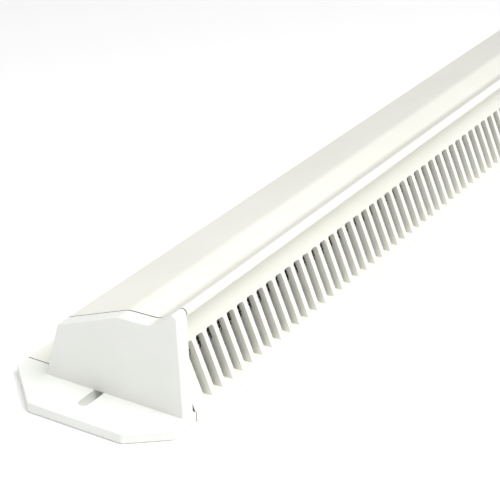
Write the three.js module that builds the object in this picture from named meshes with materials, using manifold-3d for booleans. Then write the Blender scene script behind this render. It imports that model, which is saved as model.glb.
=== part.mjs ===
// Surface-mounted slot ventilator for a window frame: a slotted grille under a hinged cover,
// an inner flap that shuts the air off, and two moulded end caps with slotted fixing plates.
// Millimetres, +Z up out of the mounting face. X runs along the ventilator.
// Sections are drawn in u and z: u runs across the base from its grille edge, z out from the frame.

import * as THREE from "three";
import { mergeVertices } from "three/addons/utils/BufferGeometryUtils.js";
import Module from "manifold-3d";

const wasm = await Module();
wasm.setup();

// ---------------------------------------------------------------- driving dimensions

const BASE_WIDTH = 65;
const FLANGE_THICKNESS = 3.5;
const CLEARANCE = 0.3; // between pieces that rest on or clip to each other

const SLOT_COUNT = 60;
const SLOT_PITCH = 6;
const SLOT_WIDTH = 3.9;
const SLOT_MARGIN = 8.2; // from a profile's end to the middle of the first slot

const CAP_DEPTH = 5.4; // the cap's body along X
const SEAM = 0.4; // open joint between a cap and the profiles
const CAP_WALL = 1.8;
const PLATE_REACH = 17; // the fixing plate beyond the cap's face

const PROFILE_START = CAP_DEPTH + SEAM;
const PROFILE_LENGTH = (SLOT_COUNT - 1) * SLOT_PITCH + 2 * SLOT_MARGIN;
const PROFILE_END = PROFILE_START + PROFILE_LENGTH;
const FACE_LENGTH = PROFILE_END + PROFILE_START; // from one cap's face to the other's

// Outline of the cover and the caps, as [u, z].
const WALL_FOOT = [53.2, FLANGE_THICKNESS];
const SHOULDER = [47.8, 22.9];
const PEAK = [24.3, 32.0];
const VALLEY = [12.6, 32.3];
const LIP_END = [5.42, 37.7];
const NOSE_RADIUS = 1.5;
const CAP_RIGHT_FOOT = [1.15, FLANGE_THICKNESS];
const COVER_WALL = 1.6;

// The grille's outer face, as [u, z].
const GRILLE_FOOT = [0.6, FLANGE_THICKNESS];
const SLOT_TOP = [8.4, 21.5];
const SLOT_BOTTOM_Z = 3.8;
const GRILLE_TOP_Z = 29.6;
const GRILLE_WALL = 2.2;
const BAR_DEPTH = 3.6; // the wall is thicker in its lower part, so the bars are deeper there
const BAR_STEP_HIGH_Z = 16.6;
const BAR_STEP_LOW_Z = 14.8;
const GRILLE_FOOT_WIDTH = 6;

const KNUCKLE_RADIUS = 2.3; // the cover's hinge tube
const COVER_PIN_RADIUS = 1;
const COVER_PIN_LENGTH = 16;
const COVER_PIN_START = 1.3; // inside the cap's boss

const FLAP_AXIS = [43.2, 8.4];
const FLAP_TUBE_RADIUS = 3;
const FLAP_SHAFT_RADIUS = 2;
const FLAP_EDGE_U = 16.5;
const FLAP_LEAF_Z = 6.6;
const FLAP_LEAF_THICKNESS = 1.4;
const RUNNING_CLEARANCE = 0.08;

const INLET_COUNT = 3;
const INLET_LENGTH = 110;
const INLET_BRIDGE = 10;
const INLET_LOW_U = 19.8;
const INLET_HIGH_U = 36.6;
const SEAT_WIDTH = 1.6;
const SEAT_GAP = 0.8; // from an inlet's edge to its seat rib
const SEAT_TOP_Z = 5.5;

const BRACKET_COUNT = 3;
const BRACKET_SPACING = 120;
const BRACKET_THICKNESS = 3;

const ROUND_SIDES = 32;
const JOINED = 0.01; // how far one solid runs into the next where they are joined
const ROOTED = FLANGE_THICKNESS - 1; // how deep a raised rib starts inside its plate

// ---------------------------------------------------------------- materials

function finish(name, color, roughness, metalness = 0) {
  return new THREE.MeshStandardMaterial({ name, color, roughness, metalness });
}

const powderCoat = finish("powder_coat", 0xf6f5f0, 0.45);
const capPlastic = finish("cap_plastic", 0xf3f2ee, 0.5);
const darkMesh = finish("screen_mesh", 0x26282a, 0.8);
const foam = finish("foam", 0x3a3b3d, 0.95);
const rubber = finish("rubber", 0x1d1d1e, 0.85);
const steel = finish("steel", 0xb9bcc0, 0.35, 1);
const bushPlastic = finish("bush_plastic", 0xe4e2da, 0.55);

// ---------------------------------------------------------------- solids

function solidOf(geometry) {
  const bare = geometry.clone();
  bare.deleteAttribute("normal");
  bare.deleteAttribute("uv");
  const merged = mergeVertices(bare, 1e-4);
  return new wasm.Manifold(
    new wasm.Mesh({
      numProp: 3,
      vertProperties: new Float32Array(merged.attributes.position.array),
      triVerts: new Uint32Array(merged.index.array),
    }),
  );
}

function geometryOf(solid) {
  const mesh = solid.getMesh();
  const geometry = new THREE.BufferGeometry();
  geometry.setAttribute("position", new THREE.BufferAttribute(mesh.vertProperties, 3));
  geometry.setIndex(new THREE.BufferAttribute(mesh.triVerts, 1));
  geometry.computeVertexNormals();
  return geometry;
}

// A section drawn in [u, z], extruded along X from x0 to x1.
const SECTION_TO_WORLD = new THREE.Matrix4().makeBasis(
  new THREE.Vector3(0, 1, 0),
  new THREE.Vector3(0, 0, 1),
  new THREE.Vector3(1, 0, 0),
);

function extrudeShape(shape, x0, x1, curveSegments = 8) {
  const settings = { depth: x1 - x0, bevelEnabled: false, steps: 1, curveSegments };
  const geometry = new THREE.ExtrudeGeometry(shape, settings);
  geometry.applyMatrix4(SECTION_TO_WORLD);
  geometry.translate(x0, 0, 0);
  return solidOf(geometry);
}

function shapeOf(points) {
  return new THREE.Shape(points.map(([u, z]) => new THREE.Vector2(u, z)));
}

function extrude(points, x0, x1) {
  return extrudeShape(shapeOf(points), x0, x1);
}

function block(x0, x1, u0, u1, z0, z1) {
  const geometry = new THREE.BoxGeometry(x1 - x0, u1 - u0, z1 - z0);
  geometry.translate((x0 + x1) / 2, (u0 + u1) / 2, (z0 + z1) / 2);
  return solidOf(geometry);
}

// A round bar along X.
function bar([u, z], radius, x0, x1, radius1 = radius) {
  const geometry = new THREE.CylinderGeometry(radius1, radius, x1 - x0, ROUND_SIDES);
  geometry.rotateZ(-Math.PI / 2);
  geometry.translate((x0 + x1) / 2, u, z);
  return solidOf(geometry);
}

// A round bar along Z, with its own radius at each end.
function post(x, u, z0, z1, radius0, radius1 = radius0) {
  const geometry = new THREE.CylinderGeometry(radius1, radius0, z1 - z0, ROUND_SIDES);
  geometry.rotateX(Math.PI / 2);
  geometry.translate(x, u, (z0 + z1) / 2);
  return solidOf(geometry);
}

function named(name, solid, material) {
  const mesh = new THREE.Mesh(geometryOf(solid), material);
  mesh.name = name;
  return mesh;
}

// A piece made for the left end, turned into its mirror image at the right end.
function atRightEnd(mesh) {
  mesh.scale.x = -1;
  mesh.position.x = FACE_LENGTH;
  return mesh;
}

// ---------------------------------------------------------------- outlines

function plus([u, z], [du, dz], scale = 1) {
  return [u + scale * du, z + scale * dz];
}

function direction([u0, z0], [u1, z1]) {
  const length = Math.hypot(u1 - u0, z1 - z0);
  return [(u1 - u0) / length, (z1 - z0) / length];
}

// The normal on the left of a direction of travel.
function leftOf([du, dz]) {
  return [-dz, du];
}

// The open path moved to its left by a distance, with mitred corners.
function offsetPath(path, distance) {
  return path.map((point, i) => {
    const before = leftOf(direction(path[Math.max(i - 1, 0)], path[Math.max(i, 1)]));
    const last = path.length - 1;
    const after = leftOf(direction(path[Math.min(i, last - 1)], path[Math.min(i + 1, last)]));
    const share = 1 + before[0] * after[0] + before[1] * after[1];
    return [
      point[0] + (distance * (before[0] + after[0])) / share,
      point[1] + (distance * (before[1] + after[1])) / share,
    ];
  });
}

const LIP_NORMAL = leftOf(direction(LIP_END, VALLEY)); // up, out of the lip's upper face
const NOSE_CENTRE = plus(LIP_END, LIP_NORMAL, -NOSE_RADIUS);

const WALL_NORMAL = leftOf(direction(SHOULDER, WALL_FOOT)); // out of the short wall
const HINGE_Z = FLANGE_THICKNESS + SEAM + KNUCKLE_RADIUS;
const TANGENT_Z = HINGE_Z + KNUCKLE_RADIUS * WALL_NORMAL[1];
const WALL_SLOPE = (WALL_FOOT[0] - SHOULDER[0]) / (SHOULDER[1] - WALL_FOOT[1]);
const WALL_TANGENT = [WALL_FOOT[0] - (TANGENT_Z - WALL_FOOT[1]) * WALL_SLOPE, TANGENT_Z];
const COVER_AXIS = plus(WALL_TANGENT, WALL_NORMAL, -KNUCKLE_RADIUS);

// The grille's outer face at a height, and the normal that points into the ventilator.
const GRILLE_SLOPE = (SLOT_TOP[0] - GRILLE_FOOT[0]) / (SLOT_TOP[1] - GRILLE_FOOT[1]);
const GRILLE_INWARD = leftOf(direction(SLOT_TOP, GRILLE_FOOT));

function grilleFaceU(z, depth = 0) {
  const horizontal = depth / GRILLE_INWARD[0];
  return GRILLE_FOOT[0] + (z - GRILLE_FOOT[1]) * GRILLE_SLOPE + horizontal;
}

// The closed outline of a cap's body. Its foot runs down into the fixing plate.
function capOutline() {
  const shape = new THREE.Shape();
  const footZ = FLANGE_THICKNESS / 2;
  const lipAngle = Math.atan2(LIP_NORMAL[1], LIP_NORMAL[0]);
  shape.moveTo(CAP_RIGHT_FOOT[0], footZ);
  shape.lineTo(WALL_FOOT[0], footZ);
  [WALL_FOOT, SHOULDER, PEAK, VALLEY, LIP_END].forEach((point) => shape.lineTo(...point));
  shape.absarc(...NOSE_CENTRE, NOSE_RADIUS, lipAngle, Math.PI, false);
  shape.lineTo(...CAP_RIGHT_FOOT);
  return shape;
}

// The hollow inside a cap's body: its outline moved in by the wall, above the fixing plate.
function capHollow() {
  const nose = [NOSE_CENTRE[0] - NOSE_RADIUS, NOSE_CENTRE[1]];
  const path = [CAP_RIGHT_FOOT, nose, LIP_END, VALLEY, PEAK, SHOULDER, WALL_FOOT];
  const inner = offsetPath(path, -CAP_WALL);
  const first = inner[0];
  const last = inner[inner.length - 1];
  inner[0] = [first[0], FLANGE_THICKNESS];
  inner[inner.length - 1] = [last[0], FLANGE_THICKNESS];
  return inner;
}

// ---------------------------------------------------------------- profiles

const SEAL_GROOVE_DEPTH = 1.5;
const SEAL_THICKNESS = 1.2;
const SEAL_WIDTH = 6;
const SEAL_CENTRES = { grille_side: 12, wall_side: 54 };
const SEAL_END_GAP = 1.2;
const TONGUE_REACH = 1.3;
const TONGUE_LOW_Z = 1.2;
const TONGUE_HIGH_Z = 2.3;
const BASE_EDGE_U = GRILLE_FOOT_WIDTH + CLEARANCE;
const FOOT_RIBS = [7.6, 15.6]; // low ribs that the brackets' feet stand between
const FOOT_RIB_WIDTH = 0.8;
const FOOT_RIB_TOP_Z = 4.5;
const CAP_SCREW_X = 10;
const CAP_SCREW_U = 12;
const CAP_SCREW_RADIUS = 1.45;
const CAP_SCREW_HEAD_RADIUS = 2.8;
const CAP_SCREW_HEAD_HEIGHT = 1.4;
const CAP_SCREW_LENGTH = 8.6;
const CAP_SCREW_SUNK = 0.2; // below the mounting face

function inletStart(index) {
  const total = INLET_COUNT * INLET_LENGTH + (INLET_COUNT - 1) * INLET_BRIDGE;
  return (FACE_LENGTH - total) / 2 + index * (INLET_LENGTH + INLET_BRIDGE);
}

const INLETS_START = inletStart(0);
const INLETS_END = inletStart(INLET_COUNT - 1) + INLET_LENGTH;

function frameAround(x0, x1, u0, u1, z0, z1, width) {
  const outer = block(x0 - width, x1 + width, u0 - width, u1 + width, z0, z1);
  return outer.subtract(block(x0, x1, u0, u1, z0 - 1, z1 + 1));
}

function rearProfile() {
  let solid = block(PROFILE_START, PROFILE_END, BASE_EDGE_U, BASE_WIDTH, 0, FLANGE_THICKNESS);
  const tongueEdge = BASE_EDGE_U - TONGUE_REACH;
  solid = solid.add(
    block(PROFILE_START, PROFILE_END, tongueEdge, BASE_EDGE_U + 1, TONGUE_LOW_Z, TONGUE_HIGH_Z),
  );
  for (const u of FOOT_RIBS) {
    solid = solid.add(
      block(PROFILE_START, PROFILE_END, u, u + FOOT_RIB_WIDTH, ROOTED, FOOT_RIB_TOP_Z),
    );
  }
  solid = solid.add(
    frameAround(
      INLETS_START - SEAT_GAP,
      INLETS_END + SEAT_GAP,
      INLET_LOW_U - SEAT_GAP,
      INLET_HIGH_U + SEAT_GAP,
      ROOTED,
      SEAT_TOP_Z,
      SEAT_WIDTH,
    ),
  );
  for (let i = 0; i < INLET_COUNT; i += 1) {
    const x = inletStart(i);
    solid = solid.subtract(
      block(x, x + INLET_LENGTH, INLET_LOW_U, INLET_HIGH_U, -1, FLANGE_THICKNESS + 1),
    );
  }
  const grooveHalf = SEAL_WIDTH / 2 + CLEARANCE;
  for (const u of Object.values(SEAL_CENTRES)) {
    const x0 = PROFILE_START + CAP_SCREW_X;
    const x1 = PROFILE_END - CAP_SCREW_X;
    solid = solid.subtract(block(x0, x1, u - grooveHalf, u + grooveHalf, -1, SEAL_GROOVE_DEPTH));
  }
  for (const x of [CAP_SCREW_X, FACE_LENGTH - CAP_SCREW_X]) {
    const hole = CAP_SCREW_RADIUS + CLEARANCE / 2;
    const headHole = CAP_SCREW_HEAD_RADIUS + CLEARANCE;
    const top = CAP_SCREW_HEAD_HEIGHT + CAP_SCREW_SUNK + CLEARANCE;
    solid = solid.subtract(post(x, CAP_SCREW_U, -1, FLANGE_THICKNESS + 1, hole));
    solid = solid.subtract(post(x, CAP_SCREW_U, 0, top, headHole, hole));
    solid = solid.subtract(post(x, CAP_SCREW_U, -1, CAP_SCREW_SUNK, headHole));
  }
  return solid;
}

function grilleStrip() {
  const foot = [
    [0, 0],
    [0, FLANGE_THICKNESS],
    [GRILLE_FOOT_WIDTH, FLANGE_THICKNESS],
    [GRILLE_FOOT_WIDTH, 0],
  ];
  const face = [
    [grilleFaceU(FLANGE_THICKNESS), ROOTED],
    [grilleFaceU(FLANGE_THICKNESS), FLANGE_THICKNESS],
    [grilleFaceU(GRILLE_TOP_Z), GRILLE_TOP_Z],
    [grilleFaceU(GRILLE_TOP_Z, GRILLE_WALL), GRILLE_TOP_Z],
    [grilleFaceU(BAR_STEP_HIGH_Z, GRILLE_WALL), BAR_STEP_HIGH_Z],
    [grilleFaceU(BAR_STEP_LOW_Z, BAR_DEPTH), BAR_STEP_LOW_Z],
    [grilleFaceU(FLANGE_THICKNESS, BAR_DEPTH), FLANGE_THICKNESS],
    [grilleFaceU(FLANGE_THICKNESS, BAR_DEPTH), ROOTED],
  ];
  let solid = extrude(foot, PROFILE_START, PROFILE_END);
  solid = solid.add(extrude(face, PROFILE_START, PROFILE_END));
  const grooveU = BASE_EDGE_U - TONGUE_REACH - CLEARANCE;
  solid = solid.subtract(
    block(
      PROFILE_START - 1,
      PROFILE_END + 1,
      grooveU,
      GRILLE_FOOT_WIDTH + 1,
      TONGUE_LOW_Z - CLEARANCE,
      TONGUE_HIGH_Z + CLEARANCE,
    ),
  );
  const through = 2 * BAR_DEPTH; // how far a slot's cutter stands out on each side
  const slot = [
    [grilleFaceU(SLOT_BOTTOM_Z) - through, SLOT_BOTTOM_Z],
    [grilleFaceU(SLOT_BOTTOM_Z) + through, SLOT_BOTTOM_Z],
    plus(SLOT_TOP, GRILLE_INWARD, through),
    plus(SLOT_TOP, GRILLE_INWARD, -through),
  ];
  for (let i = 0; i < SLOT_COUNT; i += 1) {
    const x = PROFILE_START + SLOT_MARGIN + i * SLOT_PITCH;
    solid = solid.subtract(extrude(slot, x - SLOT_WIDTH / 2, x + SLOT_WIDTH / 2));
  }
  return solid;
}

const COVER_PATH = [LIP_END, VALLEY, PEAK, SHOULDER, WALL_TANGENT];
const COVER_INNER = offsetPath(COVER_PATH, -COVER_WALL);
const HOOK_U = 20.3;
const HOOK_THICKNESS = 1;
const HOOK_DEPTH = 3;
const HOOK_BARB = 0.4;

function coverInnerZ(u) {
  const after = COVER_INNER.findIndex((point) => point[0] > u);
  const [u0, z0] = COVER_INNER[after - 1];
  const [u1, z1] = COVER_INNER[after];
  return z0 + ((u - u0) / (u1 - u0)) * (z1 - z0);
}

function frontCover() {
  const wall = [...COVER_PATH, ...COVER_INNER.slice().reverse()];
  let solid = extrude(wall, PROFILE_START, PROFILE_END);
  solid = solid.add(bar(NOSE_CENTRE, NOSE_RADIUS, PROFILE_START, PROFILE_END));
  solid = solid.add(bar(COVER_AXIS, KNUCKLE_RADIUS, PROFILE_START, PROFILE_END));
  const bore = COVER_PIN_RADIUS + RUNNING_CLEARANCE;
  solid = solid.subtract(bar(COVER_AXIS, bore, PROFILE_START - 1, PROFILE_END + 1));
  const rootZ = coverInnerZ(HOOK_U) + COVER_WALL / 2;
  const tipZ = coverInnerZ(HOOK_U) - HOOK_DEPTH;
  const hook = [
    [HOOK_U, rootZ],
    [HOOK_U + HOOK_THICKNESS, rootZ],
    [HOOK_U + HOOK_THICKNESS, tipZ],
    [HOOK_U, tipZ],
    [HOOK_U - HOOK_BARB, tipZ + HOOK_BARB],
    [HOOK_U, tipZ + 2 * HOOK_BARB],
  ];
  return solid.add(extrude(hook, PROFILE_START, PROFILE_END));
}

// ---------------------------------------------------------------- end caps

const CHAMFER_WALL_SIDE = [17, 17.5]; // along X, along u
const CHAMFER_GRILLE_SIDE = [10.2, 12.2];
const FIXING_SLOT_WIDTH = 3.8;
const FIXING_SLOT_START = -10; // the slot's rounded end; it runs on under the cap's face
const FIXING_SLOT_END = 4;
const CAP_FACE_THICKNESS = 2;
const SPIGOT_REACH = 8.2; // into the profiles
const SPIGOT_THICKNESS = 1.8;
const SPIGOT_TOP_Z = 28;
const SPIGOT_BLOCK_TOP_Z = 11;
const SPIGOT_BLOCK_U = [8.8, 15.2];
const COVER_BOSS_RADIUS = 2.2;
const FLAP_BOSS_RADIUS = 4.4;
const BUSH_RADIUS = 3;
const BUSH_FLANGE_RADIUS = 3.9;
const BUSH_FLANGE_THICKNESS = 0.8;
const BUSH_FLANGE_GAP = 0.1;

function fixingPlate() {
  const [wallX, wallU] = CHAMFER_WALL_SIDE;
  const [grilleX, grilleU] = CHAMFER_GRILLE_SIDE;
  const outline = new THREE.Shape();
  outline.moveTo(CAP_DEPTH, 0);
  outline.lineTo(CAP_DEPTH, BASE_WIDTH);
  outline.lineTo(wallX - PLATE_REACH, BASE_WIDTH);
  outline.lineTo(-PLATE_REACH, BASE_WIDTH - wallU);
  outline.lineTo(-PLATE_REACH, grilleU);
  outline.lineTo(grilleX - PLATE_REACH, 0);
  const settings = { depth: FLANGE_THICKNESS, bevelEnabled: false, steps: 1 };
  return solidOf(new THREE.ExtrudeGeometry(outline, settings));
}

function fixingSlot() {
  const middle = BASE_WIDTH / 2;
  const half = FIXING_SLOT_WIDTH / 2;
  const x0 = FIXING_SLOT_START + half;
  const top = FLANGE_THICKNESS + 1;
  const underBody = block(x0, FIXING_SLOT_END, middle - half, middle + half, -1, FLANGE_THICKNESS);
  const open = block(x0, 0, middle - half, middle + half, -1, top);
  return underBody.add(open).add(post(x0, middle, -1, top, half));
}

function capSpigot() {
  const x1 = PROFILE_START + SPIGOT_REACH;
  const depth = BAR_DEPTH + CLEARANCE;
  const bottomZ = FOOT_RIB_TOP_Z + 2 * CLEARANCE;
  const rib = [
    [grilleFaceU(bottomZ, depth), bottomZ],
    [grilleFaceU(SPIGOT_TOP_Z, depth), SPIGOT_TOP_Z],
    [grilleFaceU(SPIGOT_TOP_Z, depth + SPIGOT_THICKNESS), SPIGOT_TOP_Z],
    [grilleFaceU(bottomZ, depth + SPIGOT_THICKNESS), bottomZ],
  ];
  const blockZ = FLANGE_THICKNESS + CLEARANCE;
  const foot = block(CAP_FACE_THICKNESS / 2, x1, ...SPIGOT_BLOCK_U, blockZ, SPIGOT_BLOCK_TOP_Z);
  const rest = [
    [grilleFaceU(bottomZ, depth), bottomZ],
    [SPIGOT_BLOCK_U[0] + 1, bottomZ],
    [SPIGOT_BLOCK_U[0] + 1, SPIGOT_BLOCK_TOP_Z],
    [grilleFaceU(SPIGOT_BLOCK_TOP_Z, depth), SPIGOT_BLOCK_TOP_Z],
  ];
  return extrude(rib, CAP_FACE_THICKNESS / 2, x1)
    .add(foot)
    .add(extrude(rest, CAP_FACE_THICKNESS / 2, x1));
}

function endCap(shaftGoesThrough) {
  const hollow = extrude(capHollow(), CAP_FACE_THICKNESS, CAP_DEPTH + 1);
  let solid = extrudeShape(capOutline(), 0, CAP_DEPTH).subtract(hollow);
  solid = solid.add(fixingPlate());
  const bossStart = CAP_FACE_THICKNESS / 2;
  solid = solid.add(bar(COVER_AXIS, COVER_BOSS_RADIUS, bossStart, CAP_DEPTH));
  solid = solid.add(bar(FLAP_AXIS, FLAP_BOSS_RADIUS, bossStart, CAP_DEPTH));
  solid = solid.add(capSpigot());
  solid = solid.subtract(fixingSlot());
  const pinHole = COVER_PIN_RADIUS + RUNNING_CLEARANCE;
  solid = solid.subtract(bar(COVER_AXIS, pinHole, 1, CAP_DEPTH + 1));
  const bushHoleStart = shaftGoesThrough ? -1 : 1;
  const bushHole = BUSH_RADIUS + RUNNING_CLEARANCE;
  solid = solid.subtract(bar(FLAP_AXIS, bushHole, bushHoleStart, CAP_DEPTH + 1));
  const screwHole = CAP_SCREW_RADIUS + RUNNING_CLEARANCE;
  const screwTop = CAP_SCREW_SUNK + CAP_SCREW_LENGTH + CLEARANCE;
  return solid.subtract(post(CAP_SCREW_X, CAP_SCREW_U, 0, screwTop, screwHole));
}

function capScrew() {
  const z0 = CAP_SCREW_SUNK;
  const cone = post(0, 0, z0, z0 + CAP_SCREW_HEAD_HEIGHT, CAP_SCREW_HEAD_RADIUS, CAP_SCREW_RADIUS);
  const tipLength = 1.2;
  const tipRadius = 0.5;
  const tipZ = z0 + CAP_SCREW_LENGTH;
  const shank = post(0, 0, z0 + 1, tipZ - tipLength, CAP_SCREW_RADIUS);
  const tip = post(0, 0, tipZ - tipLength - JOINED, tipZ, CAP_SCREW_RADIUS, tipRadius);
  const driveWidth = 0.8;
  const driveLength = 3;
  const driveDepth = 0.7;
  let solid = cone.add(shank).add(tip);
  for (const [dx, du] of [[driveLength, driveWidth], [driveWidth, driveLength]]) {
    solid = solid.subtract(block(-dx / 2, dx / 2, -du / 2, du / 2, z0 - 1, z0 + driveDepth));
  }
  return solid;
}

// ---------------------------------------------------------------- closing flap and its drive

const FLAP_START = PROFILE_START + 1.6;
const FLAP_END = FACE_LENGTH - FLAP_START;
const FLAP_CURL_HEIGHT = 3.4;
const FLAP_SEAL_THICKNESS = 0.7;
const FLAP_SEAL_WIDTH = 2.4;
const FLAP_SEAL_GAP = 0.1;
const FLAP_SEAL_INSET = 0.6;
const PIN_IN_FLAP = 12;
const BUSH_START = 1.2;
const PIN_END_GAP = 0.2;
const BUSH_BORE = FLAP_SHAFT_RADIUS + RUNNING_CLEARANCE;
const WASHER_THICKNESS = 0.5;
const WASHER_RADIUS = 3.8;
const LEVER_HUB_RADIUS = 4.2;
const LEVER_THICKNESS = 3.6;
const LEVER_LENGTH = 13;
const LEVER_ANGLE = THREE.MathUtils.degToRad(158); // from +u, with the flap shut
const LEVER_TIP_RADIUS = 2.6;
const LEVER_ROOT_RADIUS = 3.2;
const LEVER_GAP = 0.2;
const SHAFT_FLAT = 1.3; // from the shaft's axis to the flat that drives the lever
const LEVER_SCREW_RADIUS = 0.95;
const LEVER_SCREW_HEAD_RADIUS = 2.3;
const LEVER_SCREW_HEAD_HEIGHT = 1.4;
const LEVER_SCREW_LENGTH = 6;

const WASHER_START = FACE_LENGTH + LEVER_GAP;
const LEVER_START = WASHER_START + WASHER_THICKNESS + LEVER_GAP;
const LEVER_END = LEVER_START + LEVER_THICKNESS;

function closingFlap() {
  const [axisU, axisZ] = FLAP_AXIS;
  const leafTop = FLAP_LEAF_Z + FLAP_LEAF_THICKNESS;
  const curl = 1.2;
  const leaf = [
    [axisU, FLAP_LEAF_Z],
    [axisU, leafTop + 1],
    [axisU - FLAP_TUBE_RADIUS, leafTop],
    [FLAP_EDGE_U + curl, leafTop],
    [FLAP_EDGE_U + curl, FLAP_LEAF_Z + FLAP_CURL_HEIGHT],
    [FLAP_EDGE_U, FLAP_LEAF_Z + FLAP_CURL_HEIGHT],
    [FLAP_EDGE_U, FLAP_LEAF_Z],
  ];
  let solid = extrude(leaf, FLAP_START, FLAP_END);
  solid = solid.add(bar([axisU, axisZ], FLAP_TUBE_RADIUS, FLAP_START, FLAP_END));
  const bore = FLAP_SHAFT_RADIUS + RUNNING_CLEARANCE;
  return solid.subtract(bar([axisU, axisZ], bore, FLAP_START - 1, FLAP_END + 1));
}

function flapSeal() {
  const overlap = FLAP_SEAL_INSET + FLAP_SEAL_WIDTH / 2;
  const z1 = FLAP_LEAF_Z - FLAP_SEAL_GAP;
  return frameAround(
    INLETS_START + overlap - FLAP_SEAL_WIDTH,
    INLETS_END - overlap + FLAP_SEAL_WIDTH,
    INLET_LOW_U + overlap - FLAP_SEAL_WIDTH,
    INLET_HIGH_U - overlap + FLAP_SEAL_WIDTH,
    z1 - FLAP_SEAL_THICKNESS,
    z1,
    FLAP_SEAL_WIDTH,
  );
}

function shaftBush() {
  const flangeEnd = PROFILE_START + BUSH_FLANGE_THICKNESS;
  return bar(FLAP_AXIS, BUSH_RADIUS, BUSH_START, PROFILE_START)
    .add(bar(FLAP_AXIS, BUSH_FLANGE_RADIUS, CAP_DEPTH + BUSH_FLANGE_GAP, flangeEnd))
    .subtract(bar(FLAP_AXIS, BUSH_BORE, 0, flangeEnd + 1));
}

function flapPivotPin() {
  const chamfer = 0.5;
  const x0 = BUSH_START + PIN_END_GAP;
  const point = bar(FLAP_AXIS, FLAP_SHAFT_RADIUS - chamfer, x0, x0 + chamfer, FLAP_SHAFT_RADIUS);
  const shank = bar(FLAP_AXIS, FLAP_SHAFT_RADIUS, x0 + chamfer - JOINED, FLAP_START + PIN_IN_FLAP);
  return point.add(shank);
}

// Everything beyond the flat's plane, to be cut off a shaft end or left in a hub's bore.
function flatSide(x0, x1, distance) {
  const [axisU, axisZ] = FLAP_AXIS;
  const reach = 6;
  return block(x0, x1, axisU - reach, axisU + reach, axisZ + distance, axisZ + reach);
}

function driveShaft() {
  const x0 = FLAP_END - PIN_IN_FLAP;
  const x1 = LEVER_END - LEVER_GAP;
  const shaft = bar(FLAP_AXIS, FLAP_SHAFT_RADIUS, x0, x1);
  const tapped = LEVER_SCREW_RADIUS + RUNNING_CLEARANCE;
  return shaft
    .subtract(flatSide(LEVER_START - LEVER_GAP, x1 + 1, SHAFT_FLAT))
    .subtract(bar(FLAP_AXIS, tapped, x1 - LEVER_SCREW_LENGTH, x1 + 1));
}

function springWasher() {
  return bar(FLAP_AXIS, WASHER_RADIUS, WASHER_START, WASHER_START + WASHER_THICKNESS)
    .subtract(bar(FLAP_AXIS, BUSH_BORE, WASHER_START - 1, WASHER_START + 2));
}

function controlLever() {
  const along = [Math.cos(LEVER_ANGLE), Math.sin(LEVER_ANGLE)];
  const side = leftOf(along);
  const tip = plus(FLAP_AXIS, along, LEVER_LENGTH);
  const arm = [
    plus(FLAP_AXIS, side, LEVER_ROOT_RADIUS),
    plus(tip, side, LEVER_TIP_RADIUS),
    plus(tip, side, -LEVER_TIP_RADIUS),
    plus(FLAP_AXIS, side, -LEVER_ROOT_RADIUS),
  ];
  const padReach = 4; // the thumb pad stands further out than the arm
  const bore = bar(FLAP_AXIS, BUSH_BORE, LEVER_START - 1, LEVER_END + 1);
  const flat = flatSide(LEVER_START - 2, LEVER_END + 2, SHAFT_FLAT + RUNNING_CLEARANCE);
  return bar(FLAP_AXIS, LEVER_HUB_RADIUS, LEVER_START, LEVER_END)
    .add(extrude(arm, LEVER_START, LEVER_END))
    .add(bar(tip, LEVER_TIP_RADIUS, LEVER_START, LEVER_END + padReach))
    .subtract(bore.subtract(flat));
}

function leverScrew() {
  const headStart = LEVER_END + LEVER_GAP;
  const headEnd = headStart + LEVER_SCREW_HEAD_HEIGHT;
  const recessDepth = 0.8;
  const recessWidth = 0.3; // half of it, as is the length
  const recessLength = 1.4;
  const crownRadius = 0.8 * LEVER_SCREW_HEAD_RADIUS;
  const tipX = LEVER_END - LEVER_SCREW_LENGTH + 1;
  const [axisU, axisZ] = FLAP_AXIS;
  let solid = bar(FLAP_AXIS, LEVER_SCREW_HEAD_RADIUS, headStart, headEnd, crownRadius);
  solid = solid.add(bar(FLAP_AXIS, LEVER_SCREW_RADIUS, tipX, headStart + LEVER_SCREW_HEAD_HEIGHT / 2));
  for (const [du, dz] of [[recessLength, recessWidth], [recessWidth, recessLength]]) {
    solid = solid.subtract(
      block(headEnd - recessDepth, headEnd + 1, axisU - du, axisU + du, axisZ - dz, axisZ + dz),
    );
  }
  return solid;
}

// ---------------------------------------------------------------- inside the ventilator

const SCREEN_THICKNESS = 0.8;
const SCREEN_DEPTH = BAR_DEPTH + CLEARANCE; // behind the grille's outer face
const SCREEN_BOTTOM_Z = 4.8;
const SCREEN_TOP_Z = 29;
const INNER_START = PROFILE_START + SPIGOT_REACH + 1;
const INNER_END = FACE_LENGTH - INNER_START;

function insectScreen() {
  const sheet = [
    [grilleFaceU(SCREEN_BOTTOM_Z, SCREEN_DEPTH), SCREEN_BOTTOM_Z],
    [grilleFaceU(SCREEN_TOP_Z, SCREEN_DEPTH), SCREEN_TOP_Z],
    [grilleFaceU(SCREEN_TOP_Z, SCREEN_DEPTH + SCREEN_THICKNESS), SCREEN_TOP_Z],
    [grilleFaceU(SCREEN_BOTTOM_Z, SCREEN_DEPTH + SCREEN_THICKNESS), SCREEN_BOTTOM_Z],
  ];
  return extrude(sheet, INNER_START, INNER_END);
}

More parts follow.
